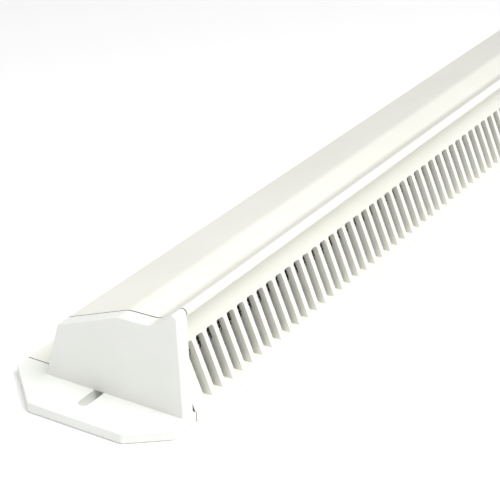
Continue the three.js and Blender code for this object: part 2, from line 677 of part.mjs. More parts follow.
function supportBracket(index) {
  const middle = FACE_LENGTH / 2 + (index - (BRACKET_COUNT - 1) / 2) * BRACKET_SPACING;
  const x0 = middle - BRACKET_THICKNESS / 2;
  const x1 = middle + BRACKET_THICKNESS / 2;
  const depth = SCREEN_DEPTH + SCREEN_THICKNESS + CLEARANCE;
  const footZ = FLANGE_THICKNESS + CLEARANCE;
  const footRight = FOOT_RIBS[0] + FOOT_RIB_WIDTH + CLEARANCE;
  const footLeft = FOOT_RIBS[1] - CLEARANCE;
  const kneeZ = 16;
  const ribClearZ = FOOT_RIB_TOP_Z + CLEARANCE;
  const outline = [
    [footRight, footZ],
    [footRight, ribClearZ],
    [grilleFaceU(ribClearZ, depth), ribClearZ],
    [grilleFaceU(GRILLE_TOP_Z, depth), GRILLE_TOP_Z],
    [HOOK_U - HOOK_BARB - CLEARANCE, GRILLE_TOP_Z],
    [footLeft, kneeZ],
    [footLeft, footZ],
  ];
  const windows = [
    [[12.3, 9.6], 2],
    [[13.2, 15], 1.2],
  ];
  let solid = extrude(outline, x0, x1);
  for (const [centre, radius] of windows) {
    solid = solid.subtract(bar(centre, radius, x0 - 1, x1 + 1));
  }
  return solid;
}

const FOAM_THICKNESS = 3.5;
const FOAM_LOW_U = 27;
const FOAM_HIGH_U = 44;

function acousticFoam() {
  const gap = 0.2;
  const lower = [FOAM_LOW_U, coverInnerZ(FOAM_LOW_U) - gap];
  const upper = [FOAM_HIGH_U, coverInnerZ(FOAM_HIGH_U) - gap];
  const inward = leftOf(direction(upper, lower));
  const sheet = [lower, upper, plus(upper, inward, FOAM_THICKNESS), plus(lower, inward, FOAM_THICKNESS)];
  return extrude(sheet, INNER_START, INNER_END);
}

const REST_SEAL_INSET = 0.2; // from the edges of the grille's top
const REST_SEAL_GAP = 0.1;

function coverRestSeal() {
  const low = grilleFaceU(GRILLE_TOP_Z) + REST_SEAL_INSET;
  const high = grilleFaceU(GRILLE_TOP_Z, GRILLE_WALL) - REST_SEAL_INSET;
  const top = Math.min(coverInnerZ(low), coverInnerZ(high)) - REST_SEAL_GAP;
  return block(PROFILE_START, PROFILE_END, low, high, GRILLE_TOP_Z + 2 * REST_SEAL_GAP, top);
}

function rearSeal(u) {
  const x0 = PROFILE_START + CAP_SCREW_X + SEAL_END_GAP;
  const x1 = PROFILE_END - CAP_SCREW_X - SEAL_END_GAP;
  return block(x0, x1, u - SEAL_WIDTH / 2, u + SEAL_WIDTH / 2, 0, SEAL_THICKNESS);
}

// ---------------------------------------------------------------- assembly

function coverPin() {
  return bar(COVER_AXIS, COVER_PIN_RADIUS, COVER_PIN_START, COVER_PIN_START + COVER_PIN_LENGTH);
}

function placedCapScrew() {
  const geometry = geometryOf(capScrew());
  geometry.translate(CAP_SCREW_X, CAP_SCREW_U, 0);
  return solidOf(geometry);
}

function housing() {
  const group = new THREE.Group();
  group.add(named("rear_profile", rearProfile(), powderCoat));
  group.add(named("grille_strip", grilleStrip(), powderCoat));
  group.add(named("end_cap_left", endCap(false), capPlastic));
  group.add(atRightEnd(named("end_cap_right", endCap(true), capPlastic)));
  group.add(named("cap_screw_left", placedCapScrew(), steel));
  group.add(atRightEnd(named("cap_screw_right", placedCapScrew(), steel)));
  group.add(named("insect_screen", insectScreen(), darkMesh));
  for (let i = 0; i < BRACKET_COUNT; i += 1) {
    group.add(named(`support_bracket_${i + 1}`, supportBracket(i), bushPlastic));
  }
  for (const [side, u] of Object.entries(SEAL_CENTRES)) {
    group.add(named(`rear_seal_${side}`, rearSeal(u), foam));
  }
  group.add(named("cover_pin_left", coverPin(), steel));
  group.add(atRightEnd(named("cover_pin_right", coverPin(), steel)));
  group.add(named("shaft_bush_left", shaftBush(), bushPlastic));
  group.add(atRightEnd(named("shaft_bush_right", shaftBush(), bushPlastic)));
  return group;
}

function cover() {
  const group = new THREE.Group();
  group.add(named("front_cover", frontCover(), powderCoat));
  group.add(named("acoustic_foam", acousticFoam(), foam));
  group.add(named("cover_rest_seal", coverRestSeal(), rubber));
  return group;
}

function flap() {
  const group = new THREE.Group();
  group.add(named("closing_flap", closingFlap(), powderCoat));
  group.add(named("flap_seal", flapSeal(), rubber));
  group.add(named("flap_pivot_pin", flapPivotPin(), steel));
  group.add(named("flap_drive_shaft", driveShaft(), steel));
  group.add(named("lever_spring_washer", springWasher(), steel));
  group.add(named("control_lever", controlLever(), capPlastic));
  group.add(named("lever_screw", leverScrew(), steel));
  return group;
}

const ventilator = new THREE.Group();
ventilator.name = "slot_ventilator";
ventilator.add(housing(), cover(), flap());
ventilator.position.set(-FACE_LENGTH / 2, -BASE_WIDTH / 2, 0);

export default ventilator;
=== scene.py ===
# %% [markdown]
# # A slot ventilator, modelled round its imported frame
# The ventilator is screwed flat over a slot in a window frame. Air comes in through the base, past a flap,
# and out through a slotted grille under a folded cover. Two moulded caps close the ends.
# The CAD model is loaded first. It fixes every size and place, so all that follows is built round it.

# %% Load the frame
import math

import bmesh
import bpy
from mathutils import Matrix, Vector


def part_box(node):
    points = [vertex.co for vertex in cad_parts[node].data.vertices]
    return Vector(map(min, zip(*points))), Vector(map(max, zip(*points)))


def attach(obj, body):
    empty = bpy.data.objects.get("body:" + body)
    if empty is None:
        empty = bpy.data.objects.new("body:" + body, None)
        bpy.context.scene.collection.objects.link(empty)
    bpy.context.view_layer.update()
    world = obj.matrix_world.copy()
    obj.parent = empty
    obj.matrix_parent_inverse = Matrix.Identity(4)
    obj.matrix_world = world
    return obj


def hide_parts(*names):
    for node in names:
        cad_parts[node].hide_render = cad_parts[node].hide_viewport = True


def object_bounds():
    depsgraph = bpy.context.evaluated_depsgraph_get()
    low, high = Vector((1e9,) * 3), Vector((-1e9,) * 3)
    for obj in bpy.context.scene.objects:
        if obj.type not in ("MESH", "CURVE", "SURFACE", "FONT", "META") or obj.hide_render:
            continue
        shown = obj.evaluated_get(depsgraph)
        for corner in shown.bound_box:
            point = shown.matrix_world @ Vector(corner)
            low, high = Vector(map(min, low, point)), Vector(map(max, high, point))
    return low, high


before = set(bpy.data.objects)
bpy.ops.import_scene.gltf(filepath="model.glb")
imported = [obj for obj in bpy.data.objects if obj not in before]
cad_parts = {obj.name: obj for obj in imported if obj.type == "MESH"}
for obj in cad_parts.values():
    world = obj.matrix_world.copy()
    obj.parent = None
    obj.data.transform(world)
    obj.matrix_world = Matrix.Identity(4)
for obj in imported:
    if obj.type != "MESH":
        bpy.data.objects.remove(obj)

CAD_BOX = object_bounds()
print("the object's box:", [tuple(round(v, 4) for v in corner) for corner in CAD_BOX])

# %% [markdown]
# The profiles are long bars with one section, so they are drawn as sections. u runs across the base from its
# grille edge, z runs up from the window frame, and x runs along from the near cap's face, all in millimetres.
# One small function turns such numbers into places in the frame, and another turns a CAD node's box into such
# numbers.

# %% Places in the section
MM = 0.001
SEAM = 0.4  # open joint between a cap and the profiles
CAP_DEPTH = 5.4
FLANGE = 3.5
BASE_WIDTH = 65.0
COVER_WALL = 1.6
CLEARANCE = 0.3

cover_low, cover_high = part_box("front_cover")
GRILLE_EDGE_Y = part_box("grille_strip")[0].y
PROFILE_START = CAP_DEPTH + SEAM
PROFILE_LENGTH = (cover_high.x - cover_low.x) / MM
PROFILE_END = PROFILE_START + PROFILE_LENGTH
FACE_LENGTH = PROFILE_END + PROFILE_START
FACE_X = cover_low.x - PROFILE_START * MM


def spot(x, u, z):
    """A place in the frame, in metres, from millimetres along, across and up."""
    return Vector((FACE_X + x * MM, GRILLE_EDGE_Y + u * MM, z * MM))


def section_box(node):
    """A CAD node's box as x0, x1, u0, u1, z0, z1, in millimetres."""
    low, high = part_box(node)
    ends = [(p.x - FACE_X, p.y - GRILLE_EDGE_Y, p.z) for p in (low, high)]
    return [v / MM for pair in zip(*ends) for v in pair]


def ends_of(node):
    """Where a CAD node starts and ends along x."""
    return section_box(node)[:2]


print("profiles:", round(PROFILE_LENGTH, 1), "mm long, faces", round(FACE_LENGTH, 1), "mm apart")

# %% [markdown]
# ## Camera
# The camera stands low at the near left corner, 0.7 m off, and looks along the ventilator with a long lens.
# The ventilator runs out of the picture at the right, so it looks long. Its place is in the frame's axes.

# %% Camera
bpy.ops.object.camera_add(location=(-0.5608, -0.2801, 0.2769))
camera = bpy.context.object
camera.rotation_euler = [math.radians(a) for a in (64.083, -0.197, -58.548)]
camera.data.sensor_width = 36
camera.data.lens = 123.65
camera.data.clip_start = 0.01
camera.data.clip_end = 20
bpy.context.scene.camera = camera
print("camera", [round(v, 3) for v in camera.location])

# %% [markdown]
# ## Floor and light
# A white thing on a white floor is shown by its shades alone. The sky is dim, and a wide lamp right above
# gives the soft shade under the lip. Smaller lamps stand on the grille's side and near the end, so that
# the slope goes grey with distance. The floor glows a little, as a light table does, and so stays white.

# %% Floor and light
def shader(name):
    """A new material, its node tree, and its shader node."""
    material = bpy.data.materials.new(name)
    material.use_nodes = True
    tree = material.node_tree
    return material, tree, tree.nodes["Principled BSDF"]


def set_sockets(node, **values):
    """Sets a node's sockets by name, with _ for a space."""
    for socket, value in values.items():
        node.inputs[socket.replace("_", " ")].default_value = value


bpy.ops.mesh.primitive_plane_add(size=12, location=(0, 0, CAD_BOX[0].z - 0.0002))
floor = bpy.context.object
floor.name = "floor"
floor_paint, _, floor_shader = shader("floor_paint")
set_sockets(floor_shader, Base_Color=(0.9, 0.9, 0.9, 1), Roughness=0.9, Specular_IOR_Level=0.1)
set_sockets(floor_shader, Emission_Color=(1, 1, 1, 1), Emission_Strength=0.06)
floor.data.materials.append(floor_paint)

world = bpy.data.worlds.new("soft_sky")
bpy.context.scene.world = world
world.use_nodes = True
set_sockets(world.node_tree.nodes["Background"], Color=(1, 1, 1, 1), Strength=0.2)
bpy.context.scene.view_settings.view_transform = "Standard"


def softbox(name, place, target, size, watts):
    """A square lamp that faces a target."""
    bpy.ops.object.light_add(type="AREA", location=place)
    lamp = bpy.context.object
    lamp.name = name
    lamp.rotation_euler = (Vector(target) - Vector(place)).to_track_quat("-Z", "Y").to_euler()
    lamp.data.size = size
    lamp.data.energy = watts


softbox("top_lamp", (-0.2, -0.7, 1.6), (0, 0, 0), 1.3, 20.3)
softbox("grille_side_lamp", (0.25, -1.1, 1.35), (0, 0, 0), 1.1, 10)
softbox("near_lamp", (-0.45, 0, 0.5), (-0.2, 0, 0), 0.3, 0.82)
softbox("near_grille_lamp", (-0.45, -0.6, 0.55), (-0.1, 0, 0), 0.5, 0.75)
softbox("end_face_lamp", (-1.4, -0.3, 0.5), (-0.15, 0, 0), 0.8, 0.5)
softbox("wall_side_lamp", (0.3, 1.3, 1.3), (0, 0.2, 0), 1.2, 3.5)

# %% [markdown]
# ## Finishes
# Each finish is built from noise on Object coordinates, so it keeps its real scale on every piece.
# One function lays two noises over a shader: a wide one shifts colour a little, a fine one
# gives the skin its gloss and grain through roughness and a bump. The numbers are what tells powder coat from
# moulded plastic.

# %% Finishes
def noise(tree, size_mm, detail=3.0, stretch=(1, 1, 1)):
    """Noise whose grains are about size_mm wide, stretched along an axis where wanted."""
    place = tree.nodes.new("ShaderNodeTexCoord")
    mapping = tree.nodes.new("ShaderNodeMapping")
    grains = tree.nodes.new("ShaderNodeTexNoise")
    set_sockets(mapping, Scale=stretch)
    set_sockets(grains, Scale=1 / (size_mm * MM), Detail=detail)
    tree.links.new(place.outputs["Object"], mapping.inputs["Vector"])
    tree.links.new(mapping.outputs["Vector"], grains.inputs["Vector"])
    return grains.outputs["Fac"]


def blend_of(tree, factor, low, high, start=0.35, end=0.65):
    """A colour that goes from low to high as a noise goes from start to end."""
    ramp = tree.nodes.new("ShaderNodeValToRGB")
    for stop, position, colour in zip(ramp.color_ramp.elements, (start, end), (low, high)):
        stop.position = position
        stop.color = (*colour, 1)
    tree.links.new(factor, ramp.inputs["Fac"])
    return ramp.outputs["Color"]


def range_of(tree, factor, start, end, low, high):
    """A number that goes from low to high as a factor goes from start to end."""
    spread = tree.nodes.new("ShaderNodeMapRange")
    set_sockets(spread, From_Min=start, From_Max=end, To_Min=low, To_Max=high)
    tree.links.new(factor, spread.inputs["Value"])
    return spread.outputs["Result"]


def bump(tree, height, depth_mm, strength):
    """A bump of a real depth."""
    skin = tree.nodes.new("ShaderNodeBump")
    set_sockets(skin, Distance=depth_mm * MM, Strength=strength)
    tree.links.new(height, skin.inputs["Height"])
    return skin.outputs["Normal"]


def skin_finish(name, dark, light, gloss, patch_mm, grain_mm, grain_depth_mm, stretch=(1, 1, 1), **fixed):
    """A shader with wide patches of colour, and a fine grain in roughness and bump. Fixed sockets go in by
    name.
    """
    material, tree, surface = shader(name)
    patches = noise(tree, patch_mm, 4)
    grains = noise(tree, grain_mm, 3, stretch)
    tree.links.new(blend_of(tree, patches, dark, light), surface.inputs["Base Color"])
    tree.links.new(range_of(tree, grains, 0.3, 0.7, *gloss), surface.inputs["Roughness"])
    tree.links.new(bump(tree, grains, grain_depth_mm, 0.5), surface.inputs["Normal"])
    set_sockets(surface, **fixed)
    return material


POWDER = [(0.875, 0.872, 0.795), (0.905, 0.905, 0.83), (0.36, 0.46), 45, 0.9, 0.02]
powder_coat = skin_finish("powder_coat_white", *POWDER)
# the grille's own copy of the coat, which gets painted shade in its slots
grille_coat_slot_shaded = skin_finish("powder_coat_grille_slot_shade", *POWDER)
CAP = [(0.85, 0.862, 0.822), (0.875, 0.886, 0.848), (0.42, 0.56), 18, 0.35, 0.012]
cap_plastic = skin_finish("cap_plastic_white", *CAP)
nylon = skin_finish("natural_nylon", (0.66, 0.63, 0.55), (0.74, 0.72, 0.65), (0.35, 0.5), 8, 0.5, 0.015)
ZINC = [(0.5, 0.51, 0.52), (0.68, 0.69, 0.7), (0.24, 0.42), 2.5, 0.25, 0.01]
zinc_steel = skin_finish("zinc_steel", *ZINC, (0.15, 1, 1), Metallic=1.0)
rubber = skin_finish("black_rubber", (0.016, 0.016, 0.017), (0.03, 0.03, 0.031), (0.55, 0.75), 6, 0.3, 0.02)
WIRE = [(0.018, 0.018, 0.019), (0.03, 0.03, 0.032), (0.45, 0.65), 3, 0.2, 0.01]
screen_wire = skin_finish("screen_wire", *WIRE)
print("finishes:", [m.name for m in bpy.data.materials])

# %% [markdown]
# The profiles are coated as long bars and sawn to length later, so their end faces are bare aluminium with
# saw marks. They are found by place and by the way they face, and get a dark colour in the same shader:
# partly the bare ends, mostly painted shade for the shade in the open seam at each cap. The grille's slot
# walls get painted shade too, grey deeper in, where light doesn't reach. For that the grille has a coat of
# its own, with the same numbers.

# %% Sawn ends, painted with the seam's shade
SAWN_DEPTH = 1.8  # the end faces and their bevels lie within this
SAWN_START = (PROFILE_LENGTH / 2 - SAWN_DEPTH) * MM
SAW_MARK, SAW_MARK_STRETCH, SAW_MARK_GAIN = 0.6, (1, 1, 0.15), 1.3


def number_node(tree, operation, first, second):
    """A maths node. Each input is a socket or a number."""
    node = tree.nodes.new("ShaderNodeMath")
    node.operation = operation
    for socket, value in zip(node.inputs, (first, second)):
        if isinstance(value, (int, float)):
            socket.default_value = value
        else:
            tree.links.new(value, socket)
    return node.outputs[0]


def size_along_x(tree, source):
    """How far a point lies, or how much a face looks, along x, whichever way."""
    place = tree.nodes.new("ShaderNodeTexCoord")
    split = tree.nodes.new("ShaderNodeSeparateXYZ")
    tree.links.new(place.outputs[source], split.inputs["Vector"])
    return number_node(tree, "ABSOLUTE", split.outputs["X"], 0.0)


def mix_into(tree, share, shade_tone):
    """Mixes a painted shade colour, streaked with saw-mark noise, into the colour, by a share from 0 to 1."""
    colour = tree.nodes["Principled BSDF"].inputs["Base Color"]
    coat = colour.links[0].from_socket
    bright = tuple(SAW_MARK_GAIN * v for v in shade_tone)
    marks = blend_of(tree, noise(tree, SAW_MARK, 2, SAW_MARK_STRETCH), shade_tone, bright)
    mix = tree.nodes.new("ShaderNodeMix")
    mix.data_type = "RGBA"
    for source, socket in ((share, 0), (coat, 6), (marks, 7)):
        tree.links.new(source, mix.inputs[socket])
    tree.links.new(mix.outputs[2], colour)


def shade_sawn_ends(material, shade_tone):
    """A dark colour on the sawn end faces: bare ends, painted darker as the shade in the open seam."""
    tree = material.node_tree
    at_end = number_node(tree, "GREATER_THAN", size_along_x(tree, "Object"), SAWN_START)
    faces_out = number_node(tree, "GREATER_THAN", size_along_x(tree, "Normal"), 0.9)
    mix_into(tree, number_node(tree, "MULTIPLY", at_end, faces_out), shade_tone)


# painted shade: this dark tone on the sawn end faces stands for the shade in the open seam between cap and
# profiles
SEAM_SHADE_END = (0.16, 0.16, 0.165)
shade_sawn_ends(powder_coat, SEAM_SHADE_END)
print("sawn ends beyond", round(SAWN_START, 4), "m")

# %% [markdown]
# Open-cell foam is pores, not grain. Voronoi cells give their walls and hollows, and the colour darkens
# in the hollows, because light doesn't reach into them.

# %% Foam finish
def pore_finish(name, hollow, wall, pore_mm):
    """Foam: cells with lighter walls and dark hollows."""
    material, tree, surface = shader(name)
    place = tree.nodes.new("ShaderNodeTexCoord")
    cells = tree.nodes.new("ShaderNodeTexVoronoi")
    set_sockets(cells, Scale=1 / (pore_mm * MM))
    tree.links.new(place.outputs["Object"], cells.inputs["Vector"])
    distance = cells.outputs["Distance"]
    tree.links.new(blend_of(tree, distance, hollow, wall, 0.1, 0.7), surface.inputs["Base Color"])
    tree.links.new(bump(tree, distance, 0.25, 0.8), surface.inputs["Normal"])
    set_sockets(surface, Roughness=0.95, Sheen_Weight=0.2)
    return material


grey_foam = pore_finish("grey_foam", (0.02, 0.02, 0.022), (0.085, 0.085, 0.09), 0.8)
print("foam finish ready")

# %% [markdown]
# ## The hand tools
# Every piece is drawn the way it is done by hand. A tiny plane is merged to one point, the point is
# extruded from corner to corner, the outline is filled with a face, and the face is pulled to its length.
# Edges are then picked by their place and bevelled. These short functions name those steps.

# %% Drawing and pulling
def begin():
    """Object mode with nothing selected, because an operator acts on all that is selected."""
    if bpy.context.mode != "OBJECT":
        bpy.ops.object.mode_set(mode="OBJECT")
    bpy.ops.object.select_all(action="DESELECT")


def pick_up(piece):
    """Makes a piece the active one, and the only one selected."""
    begin()
    bpy.context.view_layer.objects.active = piece
    piece.select_set(True)


def place_in_mesh():
    """Moves the active object's place and turn into its mesh."""
    bpy.ops.object.transform_apply(location=True, rotation=True, scale=True)


def take_all(kind=None):
    """Selects the whole mesh that is edited, as corners, edges or faces where a kind is given."""
    if kind:
        bpy.ops.mesh.select_mode(type=kind)
    bpy.ops.mesh.select_all(action="SELECT")


def bevel(width, segments, affect="EDGES"):
    """Bevels what is selected."""
    bpy.ops.mesh.bevel(offset=width * MM, segments=segments, affect=affect)


def draw(name, corners):
    """One flat face, drawn corner by corner, left in edit mode."""
    begin()
    bpy.ops.mesh.primitive_plane_add(size=MM, location=corners[0])
    piece = bpy.context.object
    piece.name = name
    place_in_mesh()
    bpy.ops.object.mode_set(mode="EDIT")
    take_all("VERT")
    bpy.ops.mesh.merge(type="CENTER")
    for here, there in zip(corners, corners[1:]):
        bpy.ops.mesh.extrude_vertices_move(TRANSFORM_OT_translate={"value": there - here})
    take_all()
    bpy.ops.mesh.edge_face_add()
    return piece


def pull(step):
    """Extrudes the drawn face by a step, and turns all faces outwards."""
    take_all()
    bpy.ops.mesh.extrude_region_move(TRANSFORM_OT_translate={"value": step})
    take_all()
    bpy.ops.mesh.normals_make_consistent(inside=False)


def section_bar(name, points, x0, x1):
    """A bar of one section, given as (u, z) points, from x0 to x1. Left in edit mode."""
    piece = draw(name, [spot(x0, u, z) for u, z in points])
    pull(((x1 - x0) * MM, 0, 0))
    return piece


def pick_edges(wanted):
    """Selects the edges whose two ends pass a test."""
    bpy.ops.mesh.select_mode(type="EDGE")
    bpy.ops.mesh.select_all(action="DESELECT")
    net = bmesh.from_edit_mesh(bpy.context.object.data)
    for edge in net.edges:
        if wanted(edge.verts[0].co, edge.verts[1].co):
            edge.select_set(True)
    bmesh.update_edit_mesh(bpy.context.object.data)


NEAR = 0.02 * MM


def round_corner(u, z, width, segments=4):
    """Bevels the long edge of a bar that runs through the section point (u, z)."""
    y_there, z_there = spot(0, u, z).yz

    def runs_there(a, b):
        return all(abs(p.y - y_there) < NEAR and abs(p.z - z_there) < NEAR for p in (a, b))

    pick_edges(runs_there)
    bevel(width, segments)


def round_end(x, width, segments=2, wanted=lambda a, b: True):
    """Bevels the rim of a bar's end face at x."""
    x_there = spot(x, 0, 0).x

    def on_rim(a, b):
        return abs(a.x - x_there) < NEAR and abs(b.x - x_there) < NEAR and wanted(a, b)

    pick_edges(on_rim)
    bevel(width, segments)


print("tools ready")

# %% [markdown]
# Holes and bosses are simple solids, cut away or joined with the Boolean modifier. The tool is removed once
# the modifier is applied. A last touch merges doubles, sets smooth shading below a given angle, gives the
# finish, hangs the piece on its CAD body, and hides the CAD node that it stands in for.

# %% Cutting, joining and finishing
def block(x0, x1, u0, u1, z0, z1):
    """A box between two corners of the section frame."""
    begin()
    low, high = spot(x0, u0, z0), spot(x1, u1, z1)
    bpy.ops.mesh.primitive_cube_add(size=1, location=(low + high) / 2, scale=high - low)
    place_in_mesh()
    return bpy.context.object


def cone(middle, length, radius, end_radius, sides, turn=0):
    """A round solid, upright or turned about y."""
    begin()
    bpy.ops.mesh.primitive_cone_add(
        vertices=sides,
        radius1=radius * MM,
        radius2=end_radius * MM,
        depth=length * MM,
        location=middle,
        rotation=(0, turn, 0),
    )
    place_in_mesh()
    return bpy.context.object


def round_bar(centre, radius, x0, x1, sides=48):
    """A round bar along x."""
    return cone(spot((x0 + x1) / 2, *centre), x1 - x0, radius, radius, sides, math.pi / 2)


def round_post(x, u, z0, z1, radius, top_radius):
    """A round post along z, or a cone."""
    return cone(spot(x, u, (z0 + z1) / 2), z1 - z0, radius, top_radius, 48)


def use_modifier(piece, kind, **settings):
    """Adds a modifier, sets it and applies it."""
    pick_up(piece)
    modifier = piece.modifiers.new(kind.lower(), kind)
    for setting, value in settings.items():
        setattr(modifier, setting, value)
    bpy.ops.object.modifier_apply(modifier=modifier.name)
    return piece


def repeat(piece, count, step, **settings):
    """A row of copies in one mesh, a step apart."""
    row = {"use_relative_offset": False, "use_constant_offset": True, "constant_offset_displace": step}
    return use_modifier(piece, "ARRAY", count=count, **row, **settings)


SPECK = 0.002 * MM


def clean(piece):
    """Merges doubles and takes away faces and edges that have no size, so that the next step starts well."""
    pick_up(piece)
    bpy.ops.object.mode_set(mode="EDIT")
    take_all()
    bpy.ops.mesh.remove_doubles(threshold=SPECK)
    bpy.ops.mesh.dissolve_degenerate(threshold=SPECK)
    take_all()
    bpy.ops.mesh.normals_make_consistent(inside=False)
    bpy.ops.object.mode_set(mode="OBJECT")


def combine(piece, tool, operation):
    """One Boolean step, with the tool removed and the piece cleaned."""
    use_modifier(piece, "BOOLEAN", object=tool, operation=operation, solver="EXACT")
    bpy.data.objects.remove(tool)
    clean(piece)


def cut(piece, tool):
    """Takes a tool's shape away from a piece."""
    combine(piece, tool, "DIFFERENCE")


def join(piece, tool):
    """Joins a tool's shape to a piece."""
    combine(piece, tool, "UNION")


def soften(piece, width, segments=2, angle=35):
    """Rounds all edges that are sharper than an angle."""
    limit = {"limit_method": "ANGLE", "angle_limit": math.radians(angle)}
    return use_modifier(piece, "BEVEL", width=width * MM, segments=segments, **limit)


def finish(piece, body, node, material, angle=32):
    """Cleans, shades, paints and hangs a piece on its CAD body. Flat faces keep their own normals."""
    clean(piece)
    bpy.ops.object.shade_smooth_by_angle(angle=math.radians(angle))
    use_modifier(piece, "WEIGHTED_NORMAL", keep_sharp=True)
    piece.data.name = piece.name
    piece.data.materials.clear()
    piece.data.materials.append(material)
    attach(piece, body)
    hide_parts(node)
    print(piece.name, "made:", len(piece.data.polygons), "faces")


def arc(centre, radius, start, end, steps):
    """Points on an arc, angles in degrees, anticlockwise from start to end."""
    angles = [math.radians(start + (end - start) * i / steps) for i in range(steps + 1)]
    return [(centre[0] + radius * math.cos(a), centre[1] + radius * math.sin(a)) for a in angles]


print("finishing tools ready")

# %% [markdown]
# ## Front cover
# The cover is one folded section of coated aluminium: a lip with a rolled nose for the fingers, a groove
# behind it, a flat top, a slope, and a short wall with the hinge tube at its foot. A thin snap hook
# hangs under the flat top. It could be a bent sheet with Solidify, but the nose, hook and tube have their own
# thickness, so the whole section is drawn as one outline, pulled to its length, and its folds are rounded.

# %% The section's lines
LIP_END, VALLEY, PEAK = Vector((5.42, 37.7)), Vector((12.6, 32.3)), Vector((24.3, 32.0))
SHOULDER, WALL_FOOT = Vector((47.8, 22.9)), Vector((53.2, FLANGE))
NOSE_RADIUS = 1.5
KNUCKLE_RADIUS = 2.3


def left_of(start, end):
    """The unit normal on the left of a line's direction."""
    along = (end - start).normalized()
    return Vector((-along.y, along.x))


def moved_path(path, distance):
    """The open path moved to its left by a distance, with mitred corners."""
    result = []
    for i, here in enumerate(path):
        before = left_of(path[max(i - 1, 0)], path[max(i, 1)])
        after = left_of(path[min(i, len(path) - 2)], path[min(i + 1, len(path) - 1)])
        result.append(here + (before + after) * distance / (1 + before.dot(after)))
    return result


def angle_of(direction):
    """The direction's angle in degrees."""
    return math.degrees(math.atan2(direction.y, direction.x))


lip_normal = left_of(LIP_END, VALLEY)
nose_centre = LIP_END - lip_normal * NOSE_RADIUS
wall_normal = left_of(SHOULDER, WALL_FOOT)
hinge_z = FLANGE + SEAM + KNUCKLE_RADIUS
tangent_z = hinge_z + KNUCKLE_RADIUS * wall_normal.y
wall_tangent = WALL_FOOT + (SHOULDER - WALL_FOOT) * (tangent_z - FLANGE) / (SHOULDER.y - FLANGE)
cover_axis = wall_tangent - wall_normal * KNUCKLE_RADIUS
outer_path = [LIP_END, VALLEY, PEAK, SHOULDER, wall_tangent]
inner_path = moved_path(outer_path, -COVER_WALL)
print("hinge axis at", [round(v, 2) for v in cover_axis])

# %% Front cover
HOOK_U, HOOK_THICKNESS, HOOK_DEPTH, HOOK_BARB = 20.3, 1.0, 3.0, 0.4


def inner_z(u, corner=1):
    """Height of the cover's inner face at u, on the stretch that starts at one of its corners."""
    start, end = inner_path[corner], inner_path[corner + 1]
    share = (u - start.x) / (end.x - start.x)
    return start.y + share * (end.y - start.y)


def cover_outline():
    """The cover's section: nose, inner side with the hook, hinge tube, then back along the outer side."""
    nose_side = NOSE_RADIUS - COVER_WALL
    nose_end = 360 + angle_of(VALLEY - LIP_END) + math.degrees(math.asin(nose_side / NOSE_RADIUS))
    nose = arc(nose_centre, NOSE_RADIUS, angle_of(lip_normal), nose_end, 24)
    tip = inner_z(HOOK_U) - HOOK_DEPTH
    far = HOOK_U + HOOK_THICKNESS
    hook = [
        (HOOK_U, inner_z(HOOK_U)),
        (HOOK_U, tip + 2 * HOOK_BARB),
        (HOOK_U - HOOK_BARB, tip + HOOK_BARB),
        (HOOK_U, tip),
        (far, tip),
        (far, inner_z(far)),
    ]
    side = math.degrees(math.asin((KNUCKLE_RADIUS - COVER_WALL) / KNUCKLE_RADIUS))
    tube_start = angle_of(SHOULDER - WALL_FOOT) - side
    tube = arc(cover_axis, KNUCKLE_RADIUS, tube_start, 360 + angle_of(wall_normal), 28)
    return [*nose, inner_path[1], *hook, inner_path[2], inner_path[3], *tube, SHOULDER, PEAK, VALLEY]


front_cover = section_bar("front_cover_skin", cover_outline(), PROFILE_START, PROFILE_END)
FOLDS = [(VALLEY, 1.7, 2.1), (PEAK, 1.5, 1.2), (SHOULDER, 0.5, 0.2)]  # a fold, its width outside, inside
SAWN_RIM = 0.12
for fold, outside, inside in FOLDS:
    round_corner(*fold, outside, 5)
    round_corner(*inner_path[outer_path.index(fold)], inside, 5)
round_end(PROFILE_START, SAWN_RIM)
round_end(PROFILE_END, SAWN_RIM)
PIN_RADIUS, PIN_DEPTH = 1.08, 16.5
OVER = 1.0  # how far a cutting tool stands out of what it cuts
cut(front_cover, round_bar(cover_axis, PIN_RADIUS, PROFILE_START - OVER, PROFILE_START + PIN_DEPTH))
cut(front_cover, round_bar(cover_axis, PIN_RADIUS, PROFILE_END - PIN_DEPTH, PROFILE_END + OVER))
finish(front_cover, "cover", "front_cover", powder_coat)

# %% [markdown]
# ## Grille strip
# The grille leans back from the flange's edge to the lip above it. It is one section as well: a foot with
# a groove for the base's tongue, and a wall that is thicker in its lower part. Sixty slots are cut through.
# The solid for one slot is modelled with its round upper corners and arrayed, so all are cut in one go.

# %% Grille strip
GRILLE_FOOT, SLOT_TOP = Vector((0.6, FLANGE)), Vector((8.4, 21.5))
SLOT_BOTTOM_Z, GRILLE_TOP_Z = 3.8, 29.6
GRILLE_WALL, BAR_DEPTH = 2.2, 3.6
BAR_STEP_HIGH_Z, BAR_STEP_LOW_Z = 16.6, 14.8
FOOT_WIDTH, GROOVE_U, GROOVE_LOW_Z, GROOVE_HIGH_Z = 6.0, 4.7, 0.9, 2.6
SLOT_COUNT, SLOT_PITCH, SLOT_WIDTH, SLOT_MARGIN, SLOT_CORNER = 60, 6.0, 3.9, 8.2, 0.9
FOOT_EDGE, SMALL_EDGE, SLOT_EDGE = 0.5, 0.3, 0.12
# painted shade: the slots' side walls go grey with depth, where light doesn't reach
SLOT_SHADE, SLOT_SHADE_DEPTHS = (0.5, 0.505, 0.5), (1.1, 3.4)
grille_inward = left_of(SLOT_TOP, GRILLE_FOOT)
grille_slope = (SLOT_TOP.x - GRILLE_FOOT.x) / (SLOT_TOP.y - GRILLE_FOOT.y)


def grille_u(z, depth=0.0):
    """Where the grille's outer face, or a plane behind it, stands at a height."""
    return GRILLE_FOOT.x + (z - FLANGE) * grille_slope + depth / grille_inward.x


